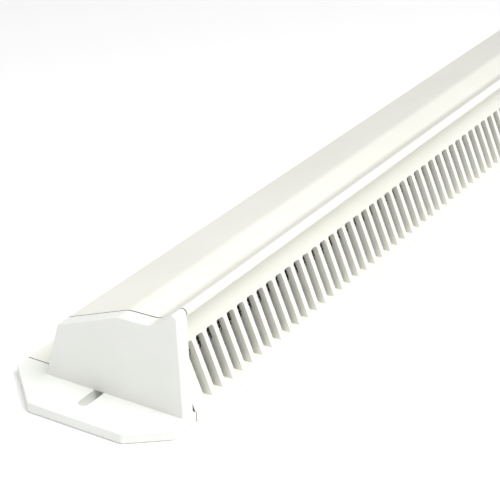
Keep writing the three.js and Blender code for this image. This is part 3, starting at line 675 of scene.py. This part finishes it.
def paint_slot_shade(material):
    """Painted shade on the slots' side walls: they go grey between two depths below the outer face."""
    tree = material.node_tree
    place = tree.nodes.new("ShaderNodeTexCoord")
    inner = tree.nodes.new("ShaderNodeVectorMath")
    inner.operation = "DOT_PRODUCT"
    direction = Vector((0, grille_inward.x, grille_inward.y))
    inner.inputs[1].default_value = direction
    tree.links.new(place.outputs["Object"], inner.inputs[0])
    face = spot(0, *GRILLE_FOOT).dot(direction)
    depth = number_node(tree, "SUBTRACT", inner.outputs["Value"], face)
    share = range_of(tree, depth, *(d * MM for d in SLOT_SHADE_DEPTHS), 0, 1)
    side_wall = number_node(tree, "GREATER_THAN", size_along_x(tree, "Normal"), 0.8)
    mix_into(tree, number_node(tree, "MULTIPLY", share, side_wall), SLOT_SHADE)


def grille_outline():
    """Foot with its groove, and the leaning wall."""
    return [
        (0, 0),
        (0, FLANGE),
        (grille_u(FLANGE), FLANGE),
        (grille_u(GRILLE_TOP_Z), GRILLE_TOP_Z),
        (grille_u(GRILLE_TOP_Z, GRILLE_WALL), GRILLE_TOP_Z),
        (grille_u(BAR_STEP_HIGH_Z, GRILLE_WALL), BAR_STEP_HIGH_Z),
        (grille_u(BAR_STEP_LOW_Z, BAR_DEPTH), BAR_STEP_LOW_Z),
        (grille_u(FLANGE, BAR_DEPTH), FLANGE),
        (FOOT_WIDTH, FLANGE),
        (FOOT_WIDTH, GROOVE_HIGH_Z),
        (GROOVE_U, GROOVE_HIGH_Z),
        (GROOVE_U, GROOVE_LOW_Z),
        (FOOT_WIDTH, GROOVE_LOW_Z),
        (FOOT_WIDTH, 0),
    ]


def slot_cutters():
    """One slot's solid with round upper corners, repeated along the strip."""
    reach = 2 * BAR_DEPTH
    first = PROFILE_START + SLOT_MARGIN - SLOT_WIDTH / 2
    low = Vector((grille_u(SLOT_BOTTOM_Z), SLOT_BOTTOM_Z))
    across = Vector((reach, 0))
    through = grille_inward * reach
    corners = [low - across, low + across, SLOT_TOP + through, SLOT_TOP - through]
    cutter = section_bar("slot_cutter", corners, first, first + SLOT_WIDTH)

    top_z = SLOT_TOP.y * MM

    def is_top_edge(a, b):
        on_side = abs(a.x - b.x) < NEAR and abs(a.y - b.y) > reach * MM
        return on_side and min(a.z, b.z) > top_z - reach * MM and max(a.z, b.z) > top_z

    pick_edges(is_top_edge)
    bevel(SLOT_CORNER, 4)
    return repeat(cutter, SLOT_COUNT, (SLOT_PITCH * MM, 0, 0))


grille = section_bar("grille_bars", grille_outline(), PROFILE_START, PROFILE_END)
round_corner(0, FLANGE, FOOT_EDGE, 3)
round_corner(0, 0, SMALL_EDGE, 2)
round_corner(grille_u(GRILLE_TOP_Z), GRILLE_TOP_Z, SMALL_EDGE, 2)
cut(grille, slot_cutters())
soften(grille, SLOT_EDGE, 2, 40)
# painted shade deep in the slots
paint_slot_shade(grille_coat_slot_shaded)
shade_sawn_ends(grille_coat_slot_shaded, SEAM_SHADE_END)
finish(grille, "housing", "grille_strip", grille_coat_slot_shaded)

# %% [markdown]
# ## End caps
# A cap is one moulding: a body with the cover's outline, hollow from behind, on a flat plate with one narrow
# screw slot. It carries a boss for each hinge and a spigot that the profiles slide over.
# Body and plate are drawn apart, each gets its soft moulded edges, and then they are joined. The caps are
# mirror images, but for the hole that the lever's shaft comes out of, so one function makes both.

# %% End caps
CAP_WALL, CAP_FACE = 1.8, 2.0
CAP_FOOT = Vector((1.15, FLANGE))
PLATE_REACH = 17.0
CORNER_WALL_SIDE, CORNER_GRILLE_SIDE = (17.0, 17.5), (10.2, 12.2)  # cut corners, along x and across
SCREW_SLOT_WIDTH, SCREW_SLOT_START, SCREW_SLOT_END = 3.8, -10.0, 4.0
FLAP_AXIS = Vector((43.2, 8.4))
SPIGOT_REACH, SPIGOT_WALL, SPIGOT_TOP_Z, SPIGOT_FOOT_Z = 8.2, 1.8, 28.0, 5.1
SPIGOT_BLOCK_U, SPIGOT_BLOCK_TOP_Z = (8.8, 15.2), 11.0
CAP_RIM, SEAM_RIM, PLATE_CORNER, PLATE_EDGE = 0.55, 0.12, 0.7, 0.4
HINGE_BOSS, SHAFT_BOSS, SHAFT_HOLE, BLIND_X = 2.2, 4.4, 3.08, 1.0  # radii, and where a blind hole ends
SCREW_PILOT, SCREW_PILOT_TOP_Z = 1.53, 9.1
CAP_SCREW_X, CAP_SCREW_U = 10.0, 12.0
SKIN = 0.02  # keeps two faces from lying in one plane where pieces are joined


def cap_body():
    """The cap's body with its rounded folds and rim, hollow from behind."""
    low_z = FLANGE / 2
    nose = arc(nose_centre, NOSE_RADIUS, angle_of(lip_normal), 180, 10)
    foot = [CAP_FOOT, (CAP_FOOT.x, low_z), (WALL_FOOT.x, low_z), WALL_FOOT]
    body = section_bar("cap_body", [*nose, *foot, SHOULDER, PEAK, VALLEY], 0, CAP_DEPTH)
    for fold, width in ((VALLEY, 1.7), (PEAK, 1.5), (SHOULDER, 0.8)):
        round_corner(*fold, width, 5)
    above_foot = (low_z + 0.1) * MM
    round_end(0, CAP_RIM, 3, lambda a, b: max(a.z, b.z) > above_foot)
    round_end(CAP_DEPTH, SEAM_RIM, 1, lambda a, b: max(a.z, b.z) > above_foot)
    nose_side = nose_centre - Vector((NOSE_RADIUS, 0))
    inside = moved_path([CAP_FOOT, nose_side, LIP_END, VALLEY, PEAK, SHOULDER, WALL_FOOT], -CAP_WALL)
    inside[0].y = inside[-1].y = FLANGE
    cut(body, section_bar("cap_hollow", inside, CAP_FACE, CAP_DEPTH + OVER))
    return body


def cap_plate():
    """The flat plate with its cut corners and soft edges."""
    wall_x, wall_u = CORNER_WALL_SIDE
    grille_x, grille_end_u = CORNER_GRILLE_SIDE
    corners = [
        (CAP_DEPTH, 0),
        (CAP_DEPTH, BASE_WIDTH),
        (wall_x - PLATE_REACH, BASE_WIDTH),
        (-PLATE_REACH, BASE_WIDTH - wall_u),
        (-PLATE_REACH, grille_end_u),
        (grille_x - PLATE_REACH, 0),
    ]
    plate = draw("cap_plate", [spot(x, u, 0) for x, u in corners])
    pull((0, 0, FLANGE * MM))
    free_x = spot(CAP_DEPTH, 0, 0).x - NEAR
    pick_edges(lambda a, b: abs(a.z - b.z) > NEAR and a.x < free_x)
    bevel(PLATE_CORNER, 4)
    pick_edges(lambda a, b: abs(a.z - b.z) < NEAR and min(a.x, b.x) < free_x)
    bevel(PLATE_EDGE, 3)
    return plate


def screw_slot_tool():
    """The slot that the fixing screw stands in: round at one end, and open to the cap's inside."""
    half = SCREW_SLOT_WIDTH / 2
    middle = BASE_WIDTH / 2
    end_x = SCREW_SLOT_START + half
    round_end_points = [(end_x + x, middle + u) for x, u in arc((0, 0), half, 90, 270, 16)]
    outline = [*round_end_points, (SCREW_SLOT_END, middle - half), (SCREW_SLOT_END, middle + half)]
    tool = draw("slot_tool", [spot(x, u, -OVER) for x, u in outline])
    pull((0, 0, (FLANGE + OVER + SKIN) * MM))
    return tool


def cap_spigot():
    """The rib and the block that the profiles slide over, drawn as one section."""
    depth = BAR_DEPTH + CLEARANCE
    step = SPIGOT_WALL / grille_inward.x
    block_z = FLANGE + CLEARANCE
    inner_u, outer_u = SPIGOT_BLOCK_U
    outline = [
        (grille_u(SPIGOT_FOOT_Z, depth), SPIGOT_FOOT_Z),
        (grille_u(SPIGOT_TOP_Z, depth), SPIGOT_TOP_Z),
        (grille_u(SPIGOT_TOP_Z, depth) + step, SPIGOT_TOP_Z),
        (grille_u(SPIGOT_BLOCK_TOP_Z, depth) + step, SPIGOT_BLOCK_TOP_Z),
        (outer_u, SPIGOT_BLOCK_TOP_Z),
        (outer_u, block_z),
        (inner_u, block_z),
        (inner_u, SPIGOT_FOOT_Z),
    ]
    spigot = section_bar("spigot", outline, CAP_FACE / 2, PROFILE_START + SPIGOT_REACH)
    round_end(PROFILE_START + SPIGOT_REACH, SMALL_EDGE, 2)
    return spigot


def end_cap(name, node, at_lever_end):
    """A whole cap. The one at the lever's end is mirrored, and its shaft hole goes right through."""
    cap = cap_body()
    cap.name = name
    join(cap, cap_plate())
    cut(cap, screw_slot_tool())
    join(cap, round_bar(cover_axis, HINGE_BOSS, CAP_FACE / 2, CAP_DEPTH - SKIN))
    join(cap, round_bar(FLAP_AXIS, SHAFT_BOSS, CAP_FACE / 2, CAP_DEPTH - SKIN))
    join(cap, cap_spigot())
    cut(cap, round_bar(cover_axis, PIN_RADIUS, BLIND_X, CAP_DEPTH + OVER))
    cut(cap, round_bar(FLAP_AXIS, SHAFT_HOLE, -OVER if at_lever_end else BLIND_X, CAP_DEPTH + OVER))
    cut(cap, round_post(CAP_SCREW_X, CAP_SCREW_U, 0, SCREW_PILOT_TOP_Z, SCREW_PILOT, SCREW_PILOT))
    if at_lever_end:
        cap.scale.x = -1
        pick_up(cap)
        place_in_mesh()
    finish(cap, "housing", node, cap_plastic)


end_cap("cap_moulding_left", "end_cap_left", False)
end_cap("cap_moulding_right", "end_cap_right", True)

# %% [markdown]
# ## Rear profile
# The flat base lies on the window frame. It has a tongue for the grille's foot, two low ribs, and a raised
# seat round three air inlets. Two shallow grooves behind take foam strips. All that runs along the
# whole length is in the section; the rest is joined on or cut out.

# %% Rear profile
BASE_EDGE_U, TONGUE_U, TONGUE_LOW_Z, TONGUE_HIGH_Z = 6.3, 5.0, 1.2, 2.3
FOOT_RIBS, FOOT_RIB_WIDTH, FOOT_RIB_TOP_Z = (7.6, 15.6), 0.8, 4.5
INLET_COUNT, INLET_LENGTH, INLET_BRIDGE = 3, 110.0, 10.0
INLET_U, INLET_CORNER = (19.8, 36.6), 2.5
SEAT_GAP, SEAT_WIDTH, SEAT_TOP_Z, SEAT_CORNER = 0.8, 1.6, 5.5, 1.2
SCREW_HOLE, SINK_RADIUS, SINK_TIP_RADIUS, SINK_TIP_Z, SINK_START_Z = 1.6, 3.1, 1.2, 2.42, -0.05
SEAL_CENTRES, SEAL_GROOVE_HALF, SEAL_GROOVE_DEPTH, BASE_EDGE = (12.0, 54.0), 3.3, 1.5, 0.15
INLETS_LENGTH = INLET_COUNT * INLET_LENGTH + (INLET_COUNT - 1) * INLET_BRIDGE
INLETS_START = (FACE_LENGTH - INLETS_LENGTH) / 2


def base_outline():
    """The base's section with its tongue and its two foot ribs."""
    points = [
        (BASE_WIDTH, FLANGE),
        (BASE_WIDTH, 0),
        (BASE_EDGE_U, 0),
        (BASE_EDGE_U, TONGUE_LOW_Z),
        (TONGUE_U, TONGUE_LOW_Z),
        (TONGUE_U, TONGUE_HIGH_Z),
        (BASE_EDGE_U, TONGUE_HIGH_Z),
        (BASE_EDGE_U, FLANGE),
    ]
    for u in FOOT_RIBS:
        far = u + FOOT_RIB_WIDTH
        points += [(u, FLANGE), (u, FOOT_RIB_TOP_Z), (far, FOOT_RIB_TOP_Z), (far, FLANGE)]
    return points


def rounded_block(x0, x1, u0, u1, z0, z1, radius):
    """A box with rounded upright edges."""
    box = block(x0, x1, u0, u1, z0, z1)
    bpy.ops.object.mode_set(mode="EDIT")
    pick_edges(lambda a, b: abs(a.z - b.z) > NEAR)
    bevel(radius, 5)
    bpy.ops.object.mode_set(mode="OBJECT")
    return box


def grown(distance):
    """The ground plan of all inlets together, grown by a distance."""
    end = INLETS_START + INLETS_LENGTH
    return INLETS_START - distance, end + distance, INLET_U[0] - distance, INLET_U[1] + distance


base = section_bar("base_plate", base_outline(), PROFILE_START, PROFILE_END)
round_corner(BASE_WIDTH, FLANGE, FOOT_EDGE, 3)
seat = rounded_block(*grown(SEAT_GAP + SEAT_WIDTH), FLANGE - OVER, SEAT_TOP_Z, INLET_CORNER)
cut(seat, rounded_block(*grown(SEAT_GAP), 0, SEAT_TOP_Z + OVER, SEAT_CORNER))
join(base, seat)
for i in range(INLET_COUNT):
    x0 = INLETS_START + i * (INLET_LENGTH + INLET_BRIDGE)
    cut(base, rounded_block(x0, x0 + INLET_LENGTH, *INLET_U, -OVER, FLANGE + OVER, INLET_CORNER))
for u in SEAL_CENTRES:
    x0, x1 = PROFILE_START + CAP_SCREW_X, PROFILE_END - CAP_SCREW_X
    cut(base, block(x0, x1, u - SEAL_GROOVE_HALF, u + SEAL_GROOVE_HALF, -OVER, SEAL_GROOVE_DEPTH))
for x in (CAP_SCREW_X, FACE_LENGTH - CAP_SCREW_X):
    cut(base, round_post(x, CAP_SCREW_U, -OVER, FLANGE + OVER, SCREW_HOLE, SCREW_HOLE))
    cut(base, round_post(x, CAP_SCREW_U, SINK_START_Z, SINK_TIP_Z, SINK_RADIUS, SINK_TIP_RADIUS))
soften(base, BASE_EDGE)
finish(base, "housing", "rear_profile", powder_coat)

# %% [markdown]
# ## Insect screen
# The screen is woven: each wire runs over and under those that cross it. One wave of a wire is drawn and
# extruded, then arrayed into a wire, the wire is paired with one that is half a wave on, and the pair is
# arrayed over the sheet. A wire has only four sides, because there are so many. A flat edging holds the ends.

# %% Insect screen
MESH_PITCH, WIRE_THICKNESS, WAVE_HEIGHT = 1.6, 0.32, 0.165
WAVES_ALONG, WAVES_ACROSS = 109, 7
EDGING_WIDTH, MOULDED_EDGE = 2.4, 0.2
SCREEN_DEPTH, SCREEN_THICKNESS = BAR_DEPTH + CLEARANCE, 0.8
screen_low, screen_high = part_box("insect_screen")
screen_width = screen_high.x - screen_low.x
along = Vector((1, 0, 0))
inward = Vector((0, grille_inward.x, grille_inward.y))
upward = Vector((0, -grille_inward.y, grille_inward.x))
screen_foot = spot(0, grille_u(screen_low.z / MM, SCREEN_DEPTH), screen_low.z / MM)
screen_foot.x = screen_low.x
screen_height = (screen_high.z - screen_low.z) / upward.z
mesh_width = (2 * WAVES_ALONG + 1) * MESH_PITCH * MM
mesh_height = (2 * WAVES_ACROSS + 1) * MESH_PITCH * MM
mesh_start = screen_foot + inward * SCREEN_THICKNESS / 2 * MM
mesh_start += along * (screen_width - mesh_width) / 2 + upward * (screen_height - mesh_height) / 2


def woven_wires(name, run, beside, first_height, waves, pairs):
    """All wires that run one way. Their waves start at first_height, every second one half a wave on."""
    half = WIRE_THICKNESS / 2 * MM
    start = mesh_start + inward * first_height * MM
    ring = [start + beside * b * half + inward * i * half for b, i in ((-1, -1), (1, -1), (1, 1), (-1, 1))]
    wire = draw(name, ring)
    take_all()
    for fall in (-1, -1, 1, 1):
        step = run * MESH_PITCH / 2 * MM + inward * fall * first_height * MM
        bpy.ops.mesh.extrude_region_move(TRANSFORM_OT_translate={"value": step})
    net = bmesh.from_edit_mesh(wire.data)
    bpy.ops.mesh.select_mode(type="FACE")
    for face in net.faces:
        face.select_set(abs(face.normal.dot(run)) > 0.9)
    bmesh.update_edit_mesh(wire.data)
    bpy.ops.mesh.delete(type="ONLY_FACE")
    repeat(wire, waves, run * 2 * MESH_PITCH * MM, use_merge_vertices=True, merge_threshold=0.01 * MM)
    bpy.ops.object.mode_set(mode="EDIT")
    take_all()
    bpy.ops.mesh.fill_holes(sides=4)
    repeat(wire, 2, (run + beside) * MESH_PITCH * MM)
    return repeat(wire, pairs, beside * 2 * MESH_PITCH * MM)


def screen_edging():
    """A flat frame round the screen: a rectangle, inset, opened and pulled to its thickness."""
    width = along * screen_width
    height = upward * screen_height
    opposite = screen_foot + width + height
    edging = draw("screen_edging", [screen_foot, screen_foot + width, opposite, screen_foot + height])
    take_all("FACE")
    bpy.ops.mesh.inset(thickness=EDGING_WIDTH * MM)
    bpy.ops.mesh.delete(type="ONLY_FACE")
    pull(inward * SCREEN_THICKNESS * MM)
    return soften(edging, MOULDED_EDGE)


screen = screen_edging()
wires = [
    woven_wires("wires_along", along, upward, WAVE_HEIGHT, WAVES_ALONG, WAVES_ACROSS),
    woven_wires("wires_across", upward, along, -WAVE_HEIGHT, WAVES_ACROSS, WAVES_ALONG),
]
pick_up(screen)
for part in wires:
    part.select_set(True)
bpy.ops.object.join()
screen.name = "woven_screen"
finish(screen, "housing", "insect_screen", screen_wire)

# %% [markdown]
# ## Brackets, liner and seals
# Three nylon brackets hold the screen from behind. A bracket is modelled once and copied along.
# The liner under the cover is open foam: a drawn slab is remeshed evenly, and a little noise makes
# its skin uneven, as cut foam is. Strips of foam lie in the base, and a rubber strip under the cover.

# %% Brackets
BRACKET_THICKNESS, BRACKET_SPACING = 3.0, 120.0
BRACKET_KNEE_Z = 16.0


def copy_along(piece, name, distance):
    """A copy with its own mesh, moved along x."""
    pick_up(piece)
    bpy.ops.object.duplicate(linked=False)
    twin = bpy.context.object
    twin.name = name
    twin.location.x += distance * MM
    place_in_mesh()
    return twin


def bracket_outline():
    """The bracket's side view: foot between the ribs, front along the screen, top under the snap hook."""
    depth = SCREEN_DEPTH + SCREEN_THICKNESS + CLEARANCE
    foot_z, clear_z = FLANGE + CLEARANCE, FOOT_RIB_TOP_Z + CLEARANCE
    front_u = FOOT_RIBS[0] + FOOT_RIB_WIDTH + CLEARANCE
    back_u = FOOT_RIBS[1] - CLEARANCE
    return [
        (front_u, foot_z),
        (front_u, clear_z),
        (grille_u(clear_z, depth), clear_z),
        (grille_u(GRILLE_TOP_Z, depth), GRILLE_TOP_Z),
        (HOOK_U - HOOK_BARB - CLEARANCE, GRILLE_TOP_Z),
        (back_u, BRACKET_KNEE_Z),
        (back_u, foot_z),
    ]


bracket_x = FACE_LENGTH / 2 - BRACKET_SPACING - BRACKET_THICKNESS / 2
bracket = section_bar("bracket_moulding_1", bracket_outline(), bracket_x, bracket_x + BRACKET_THICKNESS)
BRACKET_HOLES = [((12.3, 9.6), 2.0), ((13.2, 15.0), 1.2)]  # middle and radius
for window, radius in BRACKET_HOLES:
    cut(bracket, round_bar(window, radius, bracket_x - OVER, bracket_x + BRACKET_THICKNESS + OVER, 32))
soften(bracket, MOULDED_EDGE)
brackets = [bracket] + [copy_along(bracket, f"bracket_moulding_{i + 1}", i * BRACKET_SPACING) for i in (1, 2)]
for i, piece in enumerate(brackets):
    finish(piece, "housing", f"support_bracket_{i + 1}", nylon)

# %% Foam liner and foam strips
LINER_LOW_U, LINER_HIGH_U, LINER_THICKNESS, LINER_GAP, LINER_INSET = 27.0, 44.0, 3.5, 0.2, 0.15
FOAM_CELL, FOAM_SWELL, FOAM_CLOUD = 0.9, 0.4, 3.0
FOAM_CORNER, FOAM_EDGE = 0.6, 0.25


def liner_outline(shrink):
    """The liner's section, under the cover's slope, a little smaller all round."""
    low, high = (Vector((u, inner_z(u, 2) - LINER_GAP)) for u in (LINER_LOW_U, LINER_HIGH_U))
    under = -left_of(low, high)
    side = (high - low).normalized() * shrink
    top, bottom = under * shrink, under * (LINER_THICKNESS - shrink)
    return [low + side + top, high - side + top, high - side + bottom, low + side + bottom]


def uneven_foam(piece):
    """Even small faces over the piece, pushed in and out by noise, as a cut foam skin."""
    use_modifier(piece, "REMESH", mode="VOXEL", voxel_size=FOAM_CELL * MM)
    clouds = bpy.data.textures.new(piece.name, "CLOUDS")
    clouds.noise_scale = FOAM_CLOUD * MM
    swell = {"strength": FOAM_SWELL * MM, "mid_level": 0.5}
    use_modifier(piece, "DISPLACE", texture=clouds, texture_coords="GLOBAL", **swell)


liner_x0, liner_x1 = ends_of("acoustic_foam")
liner = section_bar("foam_liner", liner_outline(LINER_INSET), liner_x0 + LINER_INSET, liner_x1 - LINER_INSET)
uneven_foam(liner)
finish(liner, "cover", "acoustic_foam", grey_foam, 60)

for side in ("grille_side", "wall_side"):
    strip = rounded_block(*section_box(f"rear_seal_{side}"), FOAM_CORNER)
    strip.name = f"foam_strip_{side}"
    soften(strip, FOAM_EDGE)
    finish(strip, "housing", f"rear_seal_{side}", grey_foam)

# %% Rubber strips
STRIP_EDGE, RING_CORNER, RING_WIDTH = 0.3, 2.5, 2.4


def rubber_strip():
    """The strip that the shut cover rests on, with a rounded top."""
    strip = block(PROFILE_START, PROFILE_END, *section_box("cover_rest_seal")[2:])
    strip.name = "cover_rubber_strip"
    return soften(strip, STRIP_EDGE, 4)


def rubber_ring():
    """The flap's seal: a rectangle with rounded corners, inset, opened, and pulled to its thickness."""
    low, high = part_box("flap_seal")
    corners = [(low.x, low.y), (high.x, low.y), (high.x, high.y), (low.x, high.y)]
    ring = draw("flap_rubber_ring", [Vector((x, y, low.z)) for x, y in corners])
    take_all("VERT")
    bevel(RING_CORNER, 5, "VERTICES")
    take_all("FACE")
    bpy.ops.mesh.inset(thickness=RING_WIDTH * MM)
    bpy.ops.mesh.delete(type="ONLY_FACE")
    pull((0, 0, high.z - low.z))
    return soften(ring, MOULDED_EDGE, 3)


finish(rubber_strip(), "cover", "cover_rest_seal", rubber)
finish(rubber_ring(), "flap", "flap_seal", rubber)

# %% [markdown]
# ## Flap and its lever
# The flap is an extruded leaf with a tube along its hinge edge and a small upturned lip. It is one section.
# The lever outside the far cap is moulded: a hub, a tapering arm and a thumb pad with three grip grooves.

# %% Closing flap
FLAP_TUBE_RADIUS, FLAP_LEAF_Z, FLAP_LEAF_THICKNESS, FLAP_EDGE_U = 3.0, 6.6, 1.4, 16.5
FLAP_LIP_HEIGHT, FLAP_LIP_THICKNESS = 3.4, 1.2
FLAP_BORE = 2.08
FLAP_X = ends_of("closing_flap")
FLAP_EDGES = [(0, 0, 0.8), (1, FLAP_LEAF_THICKNESS, 0.6)]  # side of the lip, height, and width
FLAP_EDGES += [(0, FLAP_LIP_HEIGHT, 0.5), (1, FLAP_LIP_HEIGHT, 0.5)]


def flap_outline():
    """Leaf, tube and lip as one section."""
    top_z = FLAP_LEAF_Z + FLAP_LEAF_THICKNESS
    drop = math.degrees(math.asin((FLAP_AXIS.y - FLAP_LEAF_Z) / FLAP_TUBE_RADIUS))
    rise = math.degrees(math.asin((FLAP_AXIS.y - top_z) / FLAP_TUBE_RADIUS))
    tube = arc(FLAP_AXIS, FLAP_TUBE_RADIUS, 180 + drop, 540 + rise, 36)
    inner_u = FLAP_EDGE_U + FLAP_LIP_THICKNESS
    lip_z = FLAP_LEAF_Z + FLAP_LIP_HEIGHT
    return [(FLAP_EDGE_U, FLAP_LEAF_Z), *tube, (inner_u, top_z), (inner_u, lip_z), (FLAP_EDGE_U, lip_z)]


flap = section_bar("flap_leaf", flap_outline(), *FLAP_X)
for inner, height, width in FLAP_EDGES:
    round_corner(FLAP_EDGE_U + inner * FLAP_LIP_THICKNESS, FLAP_LEAF_Z + height, width)
cut(flap, round_bar(FLAP_AXIS, FLAP_BORE, FLAP_X[0] - OVER, FLAP_X[1] + OVER))
finish(flap, "flap", "closing_flap", powder_coat)

# %% Lever
LEVER_HUB_RADIUS, LEVER_THICKNESS, LEVER_LENGTH = 4.2, 3.6, 13.0
LEVER_ANGLE = math.radians(158)
LEVER_TIP_RADIUS, LEVER_ROOT_HALF, LEVER_EDGE = 2.6, 3.07, 0.45
PAD_RADIUS, PAD_REACH = 2.5, 4.0
GROOVE_SPACING, GROOVE_HALF, GROOVE_DEPTH = 1.3, 0.25, 0.35
SHAFT_FLAT = 1.38
LEVER_START = ends_of("control_lever")[0]
LEVER_END = LEVER_START + LEVER_THICKNESS


def lever_moulding():
    """Hub and arm in one outline, with a thumb pad joined on, and a bore that has one flat."""
    run = Vector((math.cos(LEVER_ANGLE), math.sin(LEVER_ANGLE)))
    tip = FLAP_AXIS + run * LEVER_LENGTH
    turn = math.degrees(LEVER_ANGLE)
    root = math.degrees(math.asin(LEVER_ROOT_HALF / LEVER_HUB_RADIUS))
    arm_end = arc(tip, LEVER_TIP_RADIUS, turn - 90, turn + 90, 20)
    hub = arc(FLAP_AXIS, LEVER_HUB_RADIUS, turn + root, turn + 360 - root, 44)
    lever = section_bar("lever_moulding", [*arm_end, *hub], LEVER_START, LEVER_END)
    soften(lever, LEVER_EDGE, 3)
    pad_end = LEVER_END + PAD_REACH
    join(lever, soften(round_bar(tip, PAD_RADIUS, LEVER_START + OVER, pad_end), LEVER_EDGE, 3))
    for i in (-1, 0, 1):
        u, z = tip + run * i * GROOVE_SPACING
        tool = block(pad_end - GROOVE_DEPTH, pad_end + OVER, u - GROOVE_HALF, u + GROOVE_HALF, z - 4, z + 4)
        cut(lever, tool)
    bore = round_bar(FLAP_AXIS, FLAP_BORE, LEVER_START - OVER, LEVER_END + OVER)
    u, flat_z = FLAP_AXIS.x, FLAP_AXIS.y + SHAFT_FLAT
    cut(bore, block(LEVER_START - 2, LEVER_END + 2, u - 6, u + 6, flat_z, flat_z + 6))
    cut(lever, bore)
    return lever


finish(lever_moulding(), "flap", "control_lever", cap_plastic)

# %% [markdown]
# ## Screws
# A screw is turned: half its outline is drawn beside the axis and spun round it. The threads are in the
# outline as a saw edge. The cross recess is cut with two small blocks.

# %% Screws
TURNED_SIDES = 40


def turned(name, profile, origin, run, out):
    """A solid of revolution. The profile is (distance along, radius) in millimetres, from axis to axis."""
    piece = draw(name, [origin + run * a * MM + out * r * MM for a, r in profile])
    bpy.ops.mesh.delete(type="ONLY_FACE")
    take_all("VERT")
    bpy.ops.mesh.spin(steps=TURNED_SIDES, angle=2 * math.pi, center=origin, axis=run)
    clean(piece)
    return piece


def thread(start, end, root, crest, pitch):
    """A saw edge from start to end."""
    points = []
    turns = int((end - start) / pitch)
    for i in range(turns):
        a = start + i * pitch
        points += [(a, root), (a + pitch * 0.5, crest)]
    return points + [(start + turns * pitch, root)]


CAP_SCREW_HEAD = [(0, 0), (0, 2.7), (0.15, 2.8), (1.4, 1.42)]  # along the axis, and out from it
CAP_SCREW_THREAD, LEVER_SCREW_THREAD = (1.1, 1.42, 0.8), (0.75, 0.94, 0.45)  # root, crest and pitch
CAP_SCREW_CROSS, CAP_SCREW_CROSS_DEPTH = (1.5, 0.4), 0.7  # half of an arm's length and width
LEVER_SCREW_HEAD = [(0, 0), (0, 1.5), (0.2, 1.95), (0.6, 2.25), (1.4, 2.3)]
LEVER_SCREW_CROSS, LEVER_SCREW_CROSS_DEPTH = (1.3, 0.3), 0.8


def cap_screw(name):
    """Countersunk, pointing up into the cap's spigot."""
    x0, x1, u0, u1, z0, z1 = section_box("cap_screw_left")
    x, u, length = (x0 + x1) / 2, (u0 + u1) / 2, z1 - z0
    shank = thread(1.6, length - 1.2, *CAP_SCREW_THREAD)
    profile = [*CAP_SCREW_HEAD, *shank, (length - 0.9, 0.9), (length, 0.35), (length, 0)]
    screw = turned(name, profile, spot(x, u, z0), Vector((0, 0, 1)), Vector((1, 0, 0)))
    for dx, du in (CAP_SCREW_CROSS, CAP_SCREW_CROSS[::-1]):
        cut(screw, block(x - dx, x + dx, u - du, u + du, z0 - OVER, z0 + CAP_SCREW_CROSS_DEPTH))
    return screw


left_screw = cap_screw("cap_screw_turned_left")
mirror_distance = ends_of("cap_screw_right")[0] - ends_of("cap_screw_left")[0]
right_screw = copy_along(left_screw, "cap_screw_turned_right", mirror_distance)
finish(left_screw, "housing", "cap_screw_left", zinc_steel)
finish(right_screw, "housing", "cap_screw_right", zinc_steel)


def lever_screw():
    """Pan head outside the lever's hub, pointing back into the shaft."""
    x0, x1 = ends_of("lever_screw")
    u, z = FLAP_AXIS
    length = x1 - x0
    shank = thread(1.4, length - 0.5, *LEVER_SCREW_THREAD)
    profile = [*LEVER_SCREW_HEAD, *shank, (length, 0.5), (length, 0)]
    screw = turned("lever_screw_turned", profile, spot(x1, u, z), Vector((-1, 0, 0)), Vector((0, 0, 1)))
    for du, dz in (LEVER_SCREW_CROSS, LEVER_SCREW_CROSS[::-1]):
        cut(screw, block(x1 - LEVER_SCREW_CROSS_DEPTH, x1 + OVER, u - du, u + du, z - dz, z + dz))
    return screw


finish(lever_screw(), "flap", "lever_screw", zinc_steel)

# %% [markdown]
# ## Pins, bushes, shaft and washer
# These small turned pieces are right as the CAD model has them, so they stay and only get their finish.

# %% Finishes of the pieces that stay
PINS = ["cover_pin_left", "cover_pin_right", "flap_pivot_pin", "flap_drive_shaft", "lever_spring_washer"]
BUSHES = ["shaft_bush_left", "shaft_bush_right"]
for node in PINS + BUSHES:
    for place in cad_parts[node].material_slots:
        place.material = nylon if node in BUSHES else zinc_steel
print("still shown as packed:", sorted(n for n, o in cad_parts.items() if not o.hide_render))
